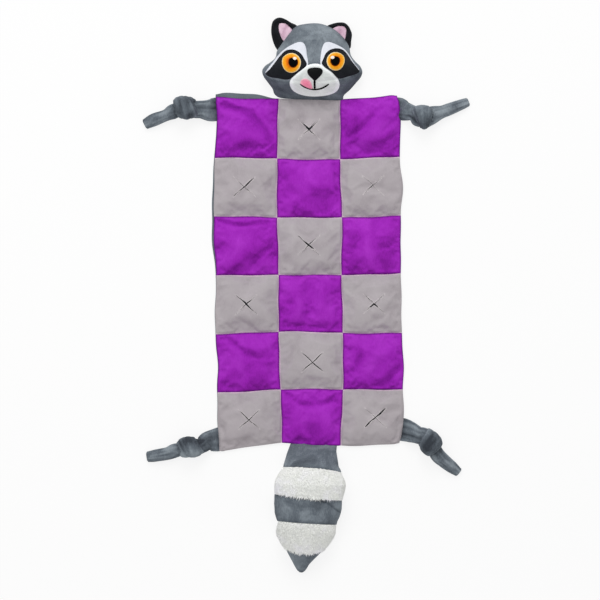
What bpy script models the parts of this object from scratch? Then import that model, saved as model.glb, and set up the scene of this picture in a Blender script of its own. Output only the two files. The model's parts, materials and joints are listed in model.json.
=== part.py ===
"""Raccoon-shaped plush treat mat, lying face up on the floor with its head towards +Y.

Eighteen front patches lie on a backing that folds along the five cross seams. Nine of the patches
are pockets with an X slit. A stuffed head, four knotted limbs and a stuffed tail are sewn to the
edge, each on a flat tab of cloth that bends at the seam. Metres, +Z up.
"""

import math

import bmesh
import bpy
from mathutils import Matrix, Vector

# The mat
COLUMNS = 3
ROWS = 6
COLUMN_PITCH = 0.068
ROW_PITCH = 0.0632
ROW_HEIGHT_SHARES = (1.039, 1.013, 1.002, 1.004, 0.99, 0.952)
MAT_CENTRE_Y = 0.0251
BACKING_THICKNESS = 0.0016
BACKING_MARGIN = 0.001
CLOTH_THICKNESS = 0.0012
COLUMN_SEAM_INSET = 0.0015
ROW_SEAM_INSET = 0.0029
PATCH_CROWN = 0.0062
PATCH_CELLS = 6
CLEARANCE = 0.0003
FILLING_MARGIN = 0.0012
OVERRUN = 0.004
MERGE_DISTANCE = 0.00003
TAB_ROUNDING_SHARE = 0.96

# The slits of the pockets
SLIT_LENGTH = 0.032
SLIT_WIDTH = 0.0048

# The tabs that join head, limbs and tail to the mat's edge
TAB_LENGTH = 0.009
TAB_WIDTH_NECK = 0.07
TAB_WIDTH_LIMB = 0.022
TAB_WIDTH_TAIL = 0.046
FORM_SETBACK = 0.0035
REST_LIFT = 0.0002

# The head
HEAD_WIDTH = 0.111
HEAD_HEIGHT = 0.0815
HEAD_SHIFT = 0.0046
HEAD_SEAM_HEIGHT = 0.014
FACE_RISE = 0.026
SNOUT_RISE = 0.006
SNOUT_SPREAD = 0.02
CHIN_LENGTH = 0.03
HEAD_CENTRE_SHARE = 0.42
HEAD_OUTLINE_SHARES = (
    (0.0, 0.0), (0.40, 0.0), (0.66, 0.02), (0.75, 0.09), (0.88, 0.20), (0.98, 0.30), (1.0, 0.37),
    (0.94, 0.45), (0.82, 0.52), (0.73, 0.60), (0.67, 0.70), (0.57, 0.81), (0.42, 0.91),
    (0.24, 0.97), (0.0, 1.0),
)
SKIN_GAP = 0.0006
SKIN_THICKNESS = 0.0008
STEEPEST_SLOPE = 2.5

# The face, in shares of the head's half width and of its height above the neck seam
MUZZLE_CENTRE_SHARE = (0.03, 0.24)
MUZZLE_SHARES = ((0, -0.205), (0.34, -0.18), (0.50, -0.03), (0.40, 0.10), (0.16, 0.20),
                 (0, 0.215))
MASK_CENTRE_SHARE = (0.45, 0.47)
MASK_SHARES = ((0.43, -0.12), (0.33, -0.01), (0.14, 0.15), (-0.07, 0.18), (-0.25, 0.10),
               (-0.30, -0.02), (-0.24, -0.09), (-0.06, -0.17), (0.10, -0.20), (0.34, -0.18))
EYE_CENTRE_SHARE = (0.445, 0.50)
BROW_SHARES = ((0.88, 0.425, 0.012), (0.76, 0.54, 0.018), (0.56, 0.68, 0.03),
               (0.32, 0.725, 0.055), (0.155, 0.62, 0.045), (0.11, 0.475, 0.02))
NOSE_CENTRE_SHARE = (0.03, 0.35)
NOSE_SHARES = ((0, -0.09), (0.09, -0.03), (0.15, 0.04), (0.11, 0.065), (0, 0.07))
TONGUE_CENTRE_SHARE = (-0.13, 0.205)
TONGUE_SHARES = ((0.09, -0.035), (0.06, 0.03), (-0.02, 0.06), (-0.09, 0.04), (-0.10, 0.005),
                 (-0.01, -0.035))
MOUTH_SHARES = ((-0.26, 0.19, 0.010), (-0.13, 0.135, 0.012), (0.03, 0.115, 0.012),
                (0.18, 0.13, 0.012), (0.32, 0.185, 0.010))
LIP_LINE_SHARES = ((0.03, 0.225, 0.011), (0.03, 0.17, 0.011), (0.03, 0.116, 0.011))
EYE_RADIUS = 0.0105
PUPIL_RADIUS = 0.005

# The squeaker inside the head
SQUEAKER_RADIUS = 0.014
SQUEAKER_HEIGHT = 0.011
SQUEAKER_NOZZLE_RADIUS = 0.0035
SQUEAKER_NOZZLE_HEIGHT = 0.003

# The ears
EAR_BASE = 0.032
EAR_HEIGHT = 0.021
EAR_THICKNESS = 0.0036
EAR_LINING_THICKNESS = 0.0016
EAR_LINING_SETBACK = 0.0025
EAR_SEAT_SHARE = (0.545, 0.825)
EAR_LEAN_DEG = 44
EAR_SHARES = ((0, 0), (0.22, 0), (0.43, 0.02), (0.52, 0.28), (0.5, 0.62), (0.36, 0.88),
              (0.14, 1.0), (-0.10, 0.92), (-0.32, 0.64), (-0.45, 0.30), (-0.44, 0.03), (-0.22, 0))
EAR_LINING_SHARES = ((0, 0.12), (0.22, 0.12), (0.30, 0.36), (0.24, 0.62), (0.08, 0.76),
                     (-0.10, 0.66), (-0.22, 0.38), (-0.22, 0.13))
RIGHT_EAR_HEIGHT_SHARE = 0.75

# The limbs
LIMB_ROOT_WIDTH = 0.022
LIMB_ROOT_HEIGHT = 0.0026
LIMB_NECK_WIDTH = 0.018
LIMB_NECK_HEIGHT = 0.012
# share of the way from the seam to the knot, of the neck's width and of its height
LIMB_NECK_SHARES = ((0.6, 1.08, 0.8), (1.0, 1.0, 1.0))
LIMB_REACH = 0.033
KNOT_LENGTH = 0.028
KNOT_WIDTH = 0.026
KNOT_HEIGHT = 0.023
KNOT_STEPS = 6
KNOT_FULLNESS = 2.4
KNOT_END_SINK = 0.0009
WRAP_RADIUS = 0.0048
WRAP_STEPS = 10
WRAP_START_DEG = -12
WRAP_TURN_DEG = 204
WRAP_SLANT_SHARE = 0.22
WRAP_SIDE_SINK_SHARE = 0.6
WRAP_TOP_SINK_SHARE = 0.4
HAND_LENGTH = 0.0267
HAND_RADIUS = 0.0062
HAND_TAPER_SHARE = 0.12
# name: side, row, place down the row, reach, aim in degrees, hand length, hand aim in degrees
LIMB_SHARES = {
    "left_arm": (-1, 0, 0.202, 0.961, 4.9, 1.0, -21.8),
    "right_arm": (1, 0, 0.202, 0.786, -14.7, 1.052, 20),
    "left_leg": (-1, 5, 0.8, 0.906, -26.8, 0.985, -13.1),
    "right_leg": (1, 5, 0.716, 1.067, -29.8, 1.019, -44.9),
}
HAND_NAMES = {
    "left_arm": "left_hand",
    "right_arm": "right_hand",
    "left_leg": "left_foot",
    "right_leg": "right_foot",
}

# The tail
TAIL_LENGTH = 0.1336
TAIL_WIDTH = 0.0755
TAIL_HEIGHT = 0.04
TAIL_SHIFT = 0.0055
TAIL_DRIFT = 0.0142
TAIL_WALL = 0.0016
# share of the length, of the width, of the height, and of the sideways drift to the left
TAIL_SHARES = (
    (0.0, 0.66, 0.08, 0.0), (0.09, 0.78, 0.30, 0.15), (0.19, 0.89, 0.62, 0.30),
    (0.28, 0.99, 0.88, 0.32), (0.45, 1.0, 1.0, 0.38), (0.60, 0.90, 0.97, 0.55),
    (0.72, 0.79, 0.90, 0.65), (0.82, 0.62, 0.74, 0.73), (0.90, 0.38, 0.52, 0.85),
    (0.96, 0.2, 0.30, 0.95), (1.0, 0.09, 0.14, 1.0),
)
TAIL_BAND_SHARES = (0.19, 0.42, 0.613, 0.83)
TAIL_FILLING_END_SHARE = 0.045
TAIL_CUP_SPACING = 1.2
FLAT_SHARE = 0.07

# Faces around and along each soft form
FACE_CELLS = (36, 18)
HEAD_BACK_CELLS = (36, 12)
HEAD_FILLING_CELLS = (20, 10)
SKIN_CELLS = (20, 8)
LARGE_SKIN_CELLS = (24, 8)
SMALL_SKIN_CELLS = (16, 6)
RIBBON_CELLS = (6, 14)
EAR_CELLS = (20, 8)
LIMB_CELLS = (16, 14)
HAND_CELLS = (14, 12)
TAIL_CUP_CELLS = (22, 8)
TAIL_BAND_CELLS = (22, 3)
TAIL_FILLING_CELLS = (18, 12)
POLE_SHARE = 0.02

MAT_WIDTH = COLUMNS * COLUMN_PITCH
MAT_TOP_Y = MAT_CENTRE_Y + ROWS * ROW_PITCH / 2
MAT_BOTTOM_Y = MAT_CENTRE_Y - ROWS * ROW_PITCH / 2
HINGE_HEIGHT = BACKING_THICKNESS / 2
SEAT_OFFSET = CLEARANCE + BACKING_THICKNESS / 2
NECK_AXIS_Y = MAT_TOP_Y + SEAT_OFFSET
TAIL_AXIS_Y = MAT_BOTTOM_Y - SEAT_OFFSET

# Colours as seen on the cloth, 0 to 255
PURPLE = (146, 35, 176)
WARM_GREY = (168, 162, 166)
DARK_GREY = (98, 106, 113)
BLACK = (22, 25, 28)
WHITE = (232, 232, 238)
MUZZLE_GREY = (206, 208, 210)
ORANGE = (240, 150, 30)
EAR_PINK = (222, 176, 208)
TONGUE_PINK = (240, 115, 145)
FUR_WHITE = (226, 227, 224)
FILLING = (240, 240, 235)


def clear_scene():
    for thing in list(bpy.data.objects):
        bpy.data.objects.remove(thing, do_unlink=True)


def new_collection(name):
    collection = bpy.data.collections.new(name)
    bpy.context.scene.collection.children.link(collection)
    return collection


def linear(channel):
    share = channel / 255
    return share / 12.92 if share <= 0.04045 else ((share + 0.055) / 1.055) ** 2.4


def cloth(name, colour, roughness):
    material = bpy.data.materials.new(name)
    material.use_nodes = True
    shader = material.node_tree.nodes["Principled BSDF"]
    shader.inputs["Base Color"].default_value = [linear(c) for c in colour] + [1]
    shader.inputs["Roughness"].default_value = roughness
    shader.inputs["Metallic"].default_value = 0
    return material


def pivot(name, parent, place):
    """An empty on a joint's axis, which carries everything that turns about it."""
    empty = bpy.data.objects.new(name, None)
    empty["place"] = place
    parts.objects.link(empty)
    empty.parent = parent
    empty.location = Vector(place) - Vector(parent["place"]) if parent else Vector(place)
    return empty


def face_outwards(bm):
    bmesh.ops.recalc_face_normals(bm, faces=bm.faces)
    if bm.calc_volume(signed=True) < 0:
        bmesh.ops.reverse_faces(bm, faces=bm.faces)


def add_object(name, bm, carrier, colour, roughness=0.9, smooth=True, collection=None):
    """Turns a mesh drawn in world coordinates into an object that its carrier holds."""
    face_outwards(bm)
    mesh = bpy.data.meshes.new(name)
    bm.to_mesh(mesh)
    bm.free()
    mesh.transform(Matrix.Translation(-Vector(carrier["place"])))
    if smooth:
        mesh.shade_smooth()
    thing = bpy.data.objects.new(name, mesh)
    (collection or parts).objects.link(thing)
    thing.parent = carrier
    mesh.materials.append(cloth(name, colour, roughness))
    return thing


def as_tool(thing):
    """Marks a shape that only cuts another or is joined to it."""
    thing.hide_render = True
    thing.display_type = "WIRE"
    return thing


def combine(thing, tool, operation):
    boolean = thing.modifiers.new(operation.lower(), "BOOLEAN")
    boolean.operation = operation
    boolean.solver = "EXACT"
    boolean.object = tool


def interpolate(rows, share):
    """The columns of a table at a share of its first column, joined by smooth curves."""
    last = len(rows) - 1
    index = 0
    while index < last - 1 and share > rows[index + 1][0]:
        index += 1
    low, high = rows[index], rows[index + 1]
    before, after = rows[max(index - 1, 0)], rows[min(index + 2, last)]
    t = min(max((share - low[0]) / (high[0] - low[0]), 0), 1)
    values = []
    for column in range(1, len(low)):
        width = high[0] - low[0]
        slope_low = (high[column] - before[column]) / (high[0] - before[0]) * width
        slope_high = (after[column] - low[column]) / (after[0] - low[0]) * width
        values.append(
            (2 * t**3 - 3 * t**2 + 1) * low[column] + (t**3 - 2 * t**2 + t) * slope_low
            + (3 * t**2 - 2 * t**3) * high[column] + (t**3 - t**2) * slope_high
        )
    return values


def smooth_step(share):
    t = min(max(share, 0), 1)
    return t * t * (3 - 2 * t)


def rounding(share, power):
    """Falls from 1 to 0 as a share goes from 0 to 1, late and steeply for a high power."""
    return math.sqrt(max(1 - share**power, 0))


def polar_outline(points):
    """Radius by angle of a closed outline around its own centre, from points on it."""
    polar = sorted((math.atan2(y, x) % math.tau, math.hypot(x, y)) for x, y in points)
    first, last = polar[0], polar[-1]
    polar = [(last[0] - math.tau, last[1])] + polar + [(first[0] + math.tau, first[1])]

    def radius(angle):
        return interpolate(polar, angle % math.tau)[0]

    return radius


# Unit shapes that the forms are mapped from


def soft_form(around, along, place):
    """A closed form: a unit sphere whose vertices are each moved to place(x, y, z)."""
    bm = bmesh.new()
    bmesh.ops.create_uvsphere(bm, u_segments=around, v_segments=along, radius=1)
    for vertex in bm.verts:
        vertex.co = place(*vertex.co)
    return bm


def join_rims(bm, outer, inner, on_rim):
    """Closes the wall between two like layers with a face along each edge of their rims."""
    places = {vertex.co.to_tuple(4): vertex for vertex in inner}
    twin = {vertex: places[vertex.co.to_tuple(4)] for vertex in outer}
    rims = [e.verts[:] for e in bm.edges if e.is_boundary and all(v in twin for v in e.verts)]
    for first, second in rims:
        if on_rim(first) and on_rim(second):
            bm.faces.new((first, second, twin[second], twin[first]))


def cup_form(around, along, place):
    """An open cup: two half spheres joined at their rims, moved to place(x, y, z, inner)."""
    bm = bmesh.new()
    layers = []
    for _ in range(2):
        made = bmesh.ops.create_uvsphere(bm, u_segments=around, v_segments=along, radius=1)
        below = [v for v in made["verts"] if v.co.z < -0.5 / along]
        layers.append([v for v in made["verts"] if v.co.z >= -0.5 / along])
        bmesh.ops.delete(bm, geom=below, context="VERTS")
    join_rims(bm, *layers, lambda vertex: True)
    for layer, inner in zip(layers, (False, True)):
        for vertex in layer:
            vertex.co = place(vertex.co.x, vertex.co.y, max(vertex.co.z, 0), inner)
    return bm


def sleeve_form(around, along, place):
    """An open tube with a wall, moved to place(turn, share, inner)."""
    bm = bmesh.new()
    layers = []
    for _ in range(2):
        made = bmesh.ops.create_grid(bm, x_segments=around, y_segments=along, size=0.5)
        layers.append(made["verts"])
    join_rims(bm, *layers, lambda vertex: abs(vertex.co.y) > 0.49)
    for layer, inner in zip(layers, (False, True)):
        for vertex in layer:
            vertex.co = place((vertex.co.x + 0.5) * math.tau, vertex.co.y + 0.5, inner)
    bmesh.ops.remove_doubles(bm, verts=bm.verts, dist=MERGE_DISTANCE)
    return bm


# The mat


def row_seam_y(seam):
    """Seam 0 is the mat's top edge and seam ROWS its bottom edge."""
    return MAT_TOP_Y - sum(ROW_HEIGHT_SHARES[:seam]) * ROW_PITCH


def row_height(row):
    return ROW_HEIGHT_SHARES[row] * ROW_PITCH


def cross_axis(seam):
    return (0, row_seam_y(seam), HINGE_HEIGHT)


def tab_form(low, high, nose_axis, nose_side):
    """A flat strip of cloth with one full-round edge, which a seam turns about."""
    bm = bmesh.new()
    size = [high[i] - low[i] for i in range(3)]
    middle = [(high[i] + low[i]) / 2 for i in range(3)]
    matrix = Matrix.Translation(middle) @ Matrix.Diagonal((*size, 1))
    bmesh.ops.create_cube(bm, size=1, matrix=matrix)
    edge_place = high[nose_axis] if nose_side > 0 else low[nose_axis]
    nose = [
        e for e in bm.edges
        if all(abs(v.co[nose_axis] - edge_place) < CLEARANCE for v in e.verts)
        and abs(e.verts[0].co.z - e.verts[1].co.z) < CLEARANCE
    ]
    radius = (high[2] - low[2]) / 2
    bmesh.ops.bevel(bm, geom=nose, offset=radius * TAB_ROUNDING_SHARE, segments=4, profile=0.5,
                    affect="EDGES", clamp_overlap=True)
    return bm


def backing_strip(row, carrier):
    """One row of the backing cloth. Its lower edge is the round one, but for the last row."""
    half = MAT_WIDTH / 2 + BACKING_MARGIN
    top = row_seam_y(row) - (SEAT_OFFSET if row else 0)
    last = row == ROWS - 1
    bottom = row_seam_y(row + 1) - (0 if last else BACKING_THICKNESS / 2)
    low = (-half, bottom, 0)
    high = (half, top, BACKING_THICKNESS)
    if last:
        bm = bmesh.new()
        middle = Vector(low).lerp(Vector(high), 0.5)
        size = Vector(high) - Vector(low)
        bmesh.ops.create_cube(
            bm, size=1, matrix=Matrix.Translation(middle) @ Matrix.Diagonal((*size, 1)))
    else:
        bm = tab_form(low, high, 1, -1)
    add_object(f"backing_row_{row + 1}", bm, carrier, DARK_GREY, smooth=False)


def patch_height(x_share, y_share):
    """Crown of a patch above its rim, with each share running from -1 to 1."""
    across = math.cos(x_share * math.pi / 2) ** 0.6
    down = math.cos(y_share * math.pi / 2) ** 0.6
    return PATCH_CROWN * max(across * down, 0)


def patch_mesh(name, row, slit):
    """A crowned patch around its own centre, with an X slit through the crown of a pocket."""
    half_x = COLUMN_PITCH / 2 - COLUMN_SEAM_INSET
    half_y = row_height(row) / 2 - ROW_SEAM_INSET
    rim = BACKING_THICKNESS + CLEARANCE + CLOTH_THICKNESS
    bm = bmesh.new()
    bmesh.ops.create_grid(bm, x_segments=PATCH_CELLS, y_segments=PATCH_CELLS, size=1)
    for vertex in bm.verts:
        x, y = vertex.co.x, vertex.co.y
        inside = min(1 - abs(x), 1 - abs(y)) > 0.01
        rise = patch_height(x, y) if inside else 0
        vertex.co = (x * half_x, y * half_y, rim + rise)
    mesh = bpy.data.meshes.new(name)
    bm.to_mesh(mesh)
    bm.free()
    shaper = bpy.data.objects.new(name, mesh)
    tools.objects.link(shaper)
    as_tool(shaper)
    shell = shaper.modifiers.new("cloth", "SOLIDIFY")
    shell.thickness = CLOTH_THICKNESS
    shell.offset = -1
    if slit:
        combine(shaper, slit_cutter(rim), "DIFFERENCE")
    bpy.context.view_layer.update()
    finished = bpy.data.meshes.new_from_object(
        shaper.evaluated_get(bpy.context.evaluated_depsgraph_get()))
    bpy.data.objects.remove(shaper)
    return finished


def slit_cutter(rim):
    """A four-pointed star through the crown: two crossing slits, widest where they meet."""
    bm = bmesh.new()
    tall = PATCH_CROWN + CLOTH_THICKNESS + OVERRUN
    bmesh.ops.create_cone(bm, cap_ends=True, segments=8, radius1=1, radius2=1, depth=tall)
    for vertex in bm.verts:
        corner = round(math.atan2(vertex.co.y, vertex.co.x) / (math.pi / 4))
        reach = SLIT_LENGTH / 2 if corner % 2 else SLIT_WIDTH / 2
        vertex.co.x = math.cos(corner * math.pi / 4) * reach
        vertex.co.y = math.sin(corner * math.pi / 4) * reach
        vertex.co.z += rim + tall / 2
    face_outwards(bm)
    mesh = bpy.data.meshes.new("slit_star")
    bm.to_mesh(mesh)
    bm.free()
    star = bpy.data.objects.new("slit_star", mesh)
    tools.objects.link(star)
    return as_tool(star)


def front_patches(row, carrier):
    """One row of three patches. Pockets and plain patches alternate like a chessboard."""
    for column in range(COLUMNS):
        pocket = (row + column) % 2 == 1
        kind = "pocket" if pocket else "plain_patch"
        name = f"{kind}_row_{row + 1}_{('left', 'middle', 'right')[column]}"
        mesh = patch_mesh(name, row, pocket)
        mesh.materials.clear()
        mesh.materials.append(cloth(name, WARM_GREY if pocket else PURPLE, 0.9))
        patch = bpy.data.objects.new(name, mesh)
        parts.objects.link(patch)
        patch.parent = carrier
        centre = Vector((
            (column - (COLUMNS - 1) / 2) * COLUMN_PITCH,
            row_seam_y(row) - row_height(row) / 2,
            0,
        ))
        patch.location = centre - Vector(carrier["place"])


# The head


def head_radius_table():
    half = [(x * HEAD_WIDTH / 2, (y - HEAD_CENTRE_SHARE) * HEAD_HEIGHT)
            for x, y in HEAD_OUTLINE_SHARES]
    return polar_outline(half + [(-x, y) for x, y in half[1:-1]])


def head_centre():
    base = NECK_AXIS_Y + FORM_SETBACK
    return Vector((HEAD_SHIFT, base + HEAD_CENTRE_SHARE * HEAD_HEIGHT, 0))


def chin_share(y):
    return smooth_step((y - NECK_AXIS_Y - FORM_SETBACK) / CHIN_LENGTH)


def head_seam_height(y):
    low = BACKING_THICKNESS + CLOTH_THICKNESS
    return low + (HEAD_SEAM_HEIGHT - low) * chin_share(y)


def face_rise(x, y):
    low = 3 * CLOTH_THICKNESS
    snout = head_point(MUZZLE_CENTRE_SHARE)
    away = ((x - snout.x) ** 2 + (y - snout.y) ** 2) / SNOUT_SPREAD**2
    bump = SNOUT_RISE * math.exp(-away) * chin_share(y)
    return low + (FACE_RISE - low) * chin_share(y) + bump


def head_point(shares):
    """A place on the face from shares of the head's half width and of its height."""
    base = NECK_AXIS_Y + FORM_SETBACK
    return Vector((HEAD_SHIFT + shares[0] * HEAD_WIDTH / 2, base + shares[1] * HEAD_HEIGHT, 0))


def face_height(x, y):
    centre = head_centre()
    across, up = x - centre.x, y - centre.y
    reach = math.hypot(across, up) / head_radius(math.atan2(up, across))
    crown = math.sqrt(max(1 - reach * reach, 0))
    return head_seam_height(y) + CLEARANCE / 2 + face_rise(x, y) * crown


def skin_height(x, y, gap):
    """Height of a piece of cloth that lies a gap off the face, measured square to the face."""
    step = SKIN_THICKNESS
    slope = math.hypot(face_height(x + step, y) - face_height(x - step, y),
                       face_height(x, y + step) - face_height(x, y - step)) / (2 * step)
    return face_height(x, y) + gap * math.hypot(1, min(slope, STEEPEST_SLOPE))


def head_place(x, y, z, inner, front, inset=0):
    """Maps a unit half sphere to the face (front) or to the back of the head."""
    centre = head_centre()
    flat = math.hypot(x, y)
    angle = math.atan2(y, x)
    wall = CLOTH_THICKNESS if inner else 0
    reach = (head_radius(angle) - wall - inset) * flat
    px = centre.x + math.cos(angle) * reach
    py = centre.y + math.sin(angle) * reach
    seam = head_seam_height(py)
    if front:
        return (px, py, seam + CLEARANCE / 2 + (face_rise(px, py) - wall - inset) * z)
    bottom = REST_LIFT + wall + inset
    depth = (seam - CLEARANCE / 2 - bottom) * (1 + FLAT_SHARE * 3)
    return (px, py, max(seam - CLEARANCE / 2 - depth * z, bottom))


def make_head(carrier):
    face = cup_form(*FACE_CELLS, lambda x, y, z, inner: head_place(x, y, z, inner, True))
    add_object("head_face_cover", face, carrier, DARK_GREY)
    back = cup_form(*HEAD_BACK_CELLS,
                    lambda x, y, z, inner: head_place(x, -y, z, inner, False))
    back_cover = add_object("head_back_cover", back, carrier, DARK_GREY)
    half = TAB_WIDTH_NECK / 2
    low = (HEAD_SHIFT - half, NECK_AXIS_Y - BACKING_THICKNESS / 2, 0)
    high = (HEAD_SHIFT + half, NECK_AXIS_Y + TAB_LENGTH, BACKING_THICKNESS)
    tab = add_object("neck_tab", tab_form(low, high, 1, -1), carrier, DARK_GREY, smooth=False,
                     collection=tools)
    combine(back_cover, as_tool(tab), "UNION")


def squeaker_form(margin, foot):
    """A flat round squeaker with a short nozzle on top, grown by a margin all round."""
    centre = head_centre()
    top = REST_LIFT + CLOTH_THICKNESS + CLEARANCE + SQUEAKER_HEIGHT + margin
    wide = SQUEAKER_RADIUS + margin
    bm = bmesh.new()
    bmesh.ops.create_cone(
        bm, cap_ends=True, segments=24, radius1=wide, radius2=wide, depth=top - foot,
        matrix=Matrix.Translation((centre.x, centre.y, (top + foot) / 2)))
    face_outwards(bm)
    lid = max(bm.faces, key=lambda f: f.calc_center_median().z)
    bmesh.ops.inset_region(bm, faces=[lid], thickness=wide - SQUEAKER_NOZZLE_RADIUS - margin)
    raised = bmesh.ops.extrude_face_region(bm, geom=[lid])
    bmesh.ops.delete(bm, geom=[lid], context="FACES")
    verts = [v for v in raised["geom"] if isinstance(v, bmesh.types.BMVert)]
    bmesh.ops.translate(bm, verts=verts, vec=(0, 0, SQUEAKER_NOZZLE_HEIGHT))
    return bm


def make_head_filling(carrier):
    inset = CLOTH_THICKNESS + FILLING_MARGIN

    def place(x, y, z):
        return head_place(x, y, abs(z), False, z >= 0, inset)

    stuffing = add_object("head_stuffing", soft_form(*HEAD_FILLING_CELLS, place), carrier, FILLING)
    floor = REST_LIFT + CLOTH_THICKNESS + CLEARANCE
    hollow = add_object("squeaker_hollow", squeaker_form(CLEARANCE, floor - OVERRUN), carrier,
                        FILLING, smooth=False, collection=tools)
    combine(stuffing, as_tool(hollow), "DIFFERENCE")
    add_object("head_squeaker", squeaker_form(0, floor), carrier, WHITE, 0.4, smooth=False)


def skin_piece(name, outline, centre, level, carrier, colour, cells=SKIN_CELLS, puff=0):
    """A piece of cloth on the face: its outline drawn around a centre, draped on the head."""
    radius = polar_outline(outline)
    base_gap = SKIN_GAP + level * (SKIN_THICKNESS + SKIN_GAP)

    def place(x, y, z):
        flat = math.hypot(x, y)
        angle = math.atan2(y, x)
        px = centre.x + math.cos(angle) * radius(angle) * flat
        py = centre.y + math.sin(angle) * radius(angle) * flat
        lift = base_gap
        if z > 0:
            lift += (SKIN_THICKNESS + puff) * rounding(flat, 6)
        return (px, py, skin_height(px, py, lift))

    return add_object(name, soft_form(*cells, place), carrier, colour)


def skin_ribbon(name, table, side, level, carrier, colour, collection=None):
    """A ribbon on the face, swept along points with a half width each."""
    rows = []
    for index, (across, up, half) in enumerate(table):
        spot = head_point((across * side, up))
        rows.append((index / (len(table) - 1), spot.x, spot.y, half * HEAD_WIDTH / 2))
    base_gap = SKIN_GAP + level * (SKIN_THICKNESS + SKIN_GAP)

    def place(x, y, z):
        share = 0.5 + math.asin(max(min(z, 1), -1)) / math.pi
        px, py, half = interpolate(rows, share)
        ahead = interpolate(rows, min(share + POLE_SHARE, 1))
        behind = interpolate(rows, max(share - POLE_SHARE, 0))
        aim = Vector((ahead[0] - behind[0], ahead[1] - behind[1])).normalized()
        pole = math.hypot(x, y) < POLE_SHARE
        turn = math.atan2(y, x)
        offset = 0 if pole else half * math.cos(turn)
        spot = Vector((px - aim.y * offset, py + aim.x * offset))
        top = 0 if pole else max(math.sin(turn), 0) ** 0.5
        return (spot.x, spot.y, skin_height(spot.x, spot.y, base_gap + SKIN_THICKNESS * top))

    return add_object(name, soft_form(*RIBBON_CELLS, place), carrier, colour,
                      collection=collection)


def scaled_outline(shares, side=1):
    return [(x * side * HEAD_WIDTH / 2, y * HEAD_HEIGHT) for x, y in shares]


def mirrored(shares):
    return list(shares) + [(-x, y) for x, y in shares if x]


def make_face(carrier):
    muzzle = scaled_outline(mirrored(MUZZLE_SHARES))
    skin_piece("muzzle", muzzle, head_point(MUZZLE_CENTRE_SHARE), 1, carrier, MUZZLE_GREY,
               LARGE_SKIN_CELLS)
    for side, word in ((-1, "left"), (1, "right")):
        centre = head_point((MASK_CENTRE_SHARE[0] * side, MASK_CENTRE_SHARE[1]))
        outline = scaled_outline(MASK_SHARES, side)
        skin_piece(f"mask_{word}", outline, centre, 0, carrier, BLACK, LARGE_SKIN_CELLS)
        skin_ribbon(f"brow_{word}", BROW_SHARES, side, 0, carrier, WHITE)
        eye = head_point((EYE_CENTRE_SHARE[0] * side, EYE_CENTRE_SHARE[1]))
        for name, reach, level, colour in (("eye", EYE_RADIUS, 1, ORANGE),
                                           ("pupil", PUPIL_RADIUS, 2, BLACK)):
            ring = [(math.cos(a) * reach, math.sin(a) * reach)
                    for a in (math.tau * i / 8 for i in range(8))]
            skin_piece(f"{name}_{word}", ring, eye, level, carrier, colour, SMALL_SKIN_CELLS)
    skin_piece("nose", scaled_outline(mirrored(NOSE_SHARES)), head_point(NOSE_CENTRE_SHARE), 2,
               carrier, BLACK, SMALL_SKIN_CELLS, puff=SKIN_THICKNESS)
    skin_piece("tongue", scaled_outline(TONGUE_SHARES), head_point(TONGUE_CENTRE_SHARE), 2,
               carrier, TONGUE_PINK, SMALL_SKIN_CELLS)
    mouth = skin_ribbon("mouth_line", MOUTH_SHARES, 1, 2, carrier, BLACK)
    lip = skin_ribbon("lip_line", LIP_LINE_SHARES, 1, 2, carrier, BLACK, collection=tools)
    combine(mouth, as_tool(lip), "UNION")


def ear_frame(side):
    """Where an ear's hinge axis runs: a point outside the head, and its two directions."""
    spot = head_point((EAR_SEAT_SHARE[0] * side, EAR_SEAT_SHARE[1]))
    lean = math.radians(EAR_LEAN_DEG)
    out = Vector((math.sin(lean) * side, math.cos(lean), 0))
    along = Vector((out.y * side, -out.x * side, 0))
    centre = head_centre()
    rim = 0
    for step in range(360):
        angle = math.tau * step / 360
        reach = head_radius(angle)
        edge = Vector((centre.x + math.cos(angle) * reach, centre.y + math.sin(angle) * reach, 0))
        if abs((edge - spot).dot(along)) < EAR_BASE / 2:
            rim = max(rim, (edge - spot).dot(out))
    place = spot + out * (rim + CLEARANCE + EAR_THICKNESS / 2)
    place.z = head_seam_height(place.y)
    return place, along, out


def make_ear(side, word, carrier):
    place, along, out = ear_frame(side)
    tall = EAR_HEIGHT * (1 if side < 0 else RIGHT_EAR_HEIGHT_SHARE)
    layers = (
        ("back", EAR_SHARES, BLACK, place.z, EAR_THICKNESS, -EAR_THICKNESS / 2),
        ("lining", EAR_LINING_SHARES, EAR_PINK,
         place.z + (EAR_THICKNESS + EAR_LINING_THICKNESS) / 2 + CLEARANCE, EAR_LINING_THICKNESS,
         EAR_LINING_SETBACK - EAR_THICKNESS / 2),
    )
    for name, shares, colour, level, thickness, setback in layers:
        middle = 0.45 * tall
        radius = polar_outline([(u * EAR_BASE, v * tall - middle) for u, v in shares])

        def spread(x, y, z):
            flat = math.hypot(x, y)
            angle = math.atan2(y, x)
            u = math.cos(angle) * radius(angle) * flat
            v = math.sin(angle) * radius(angle) * flat + middle + setback
            spot = place + along * u + out * v
            spot.z = level + math.copysign(thickness / 2 * rounding(flat, 4), z)
            return spot

        add_object(f"ear_{word}_{name}", soft_form(*EAR_CELLS, spread), carrier, colour)


# The limbs


def resting_height(middle_turn, height):
    """Height of a point on a section that rests on the floor and is flattened there."""
    half = height / 2
    return max(REST_LIFT, REST_LIFT + half * (1 - FLAT_SHARE) + half * math.sin(middle_turn))


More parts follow.
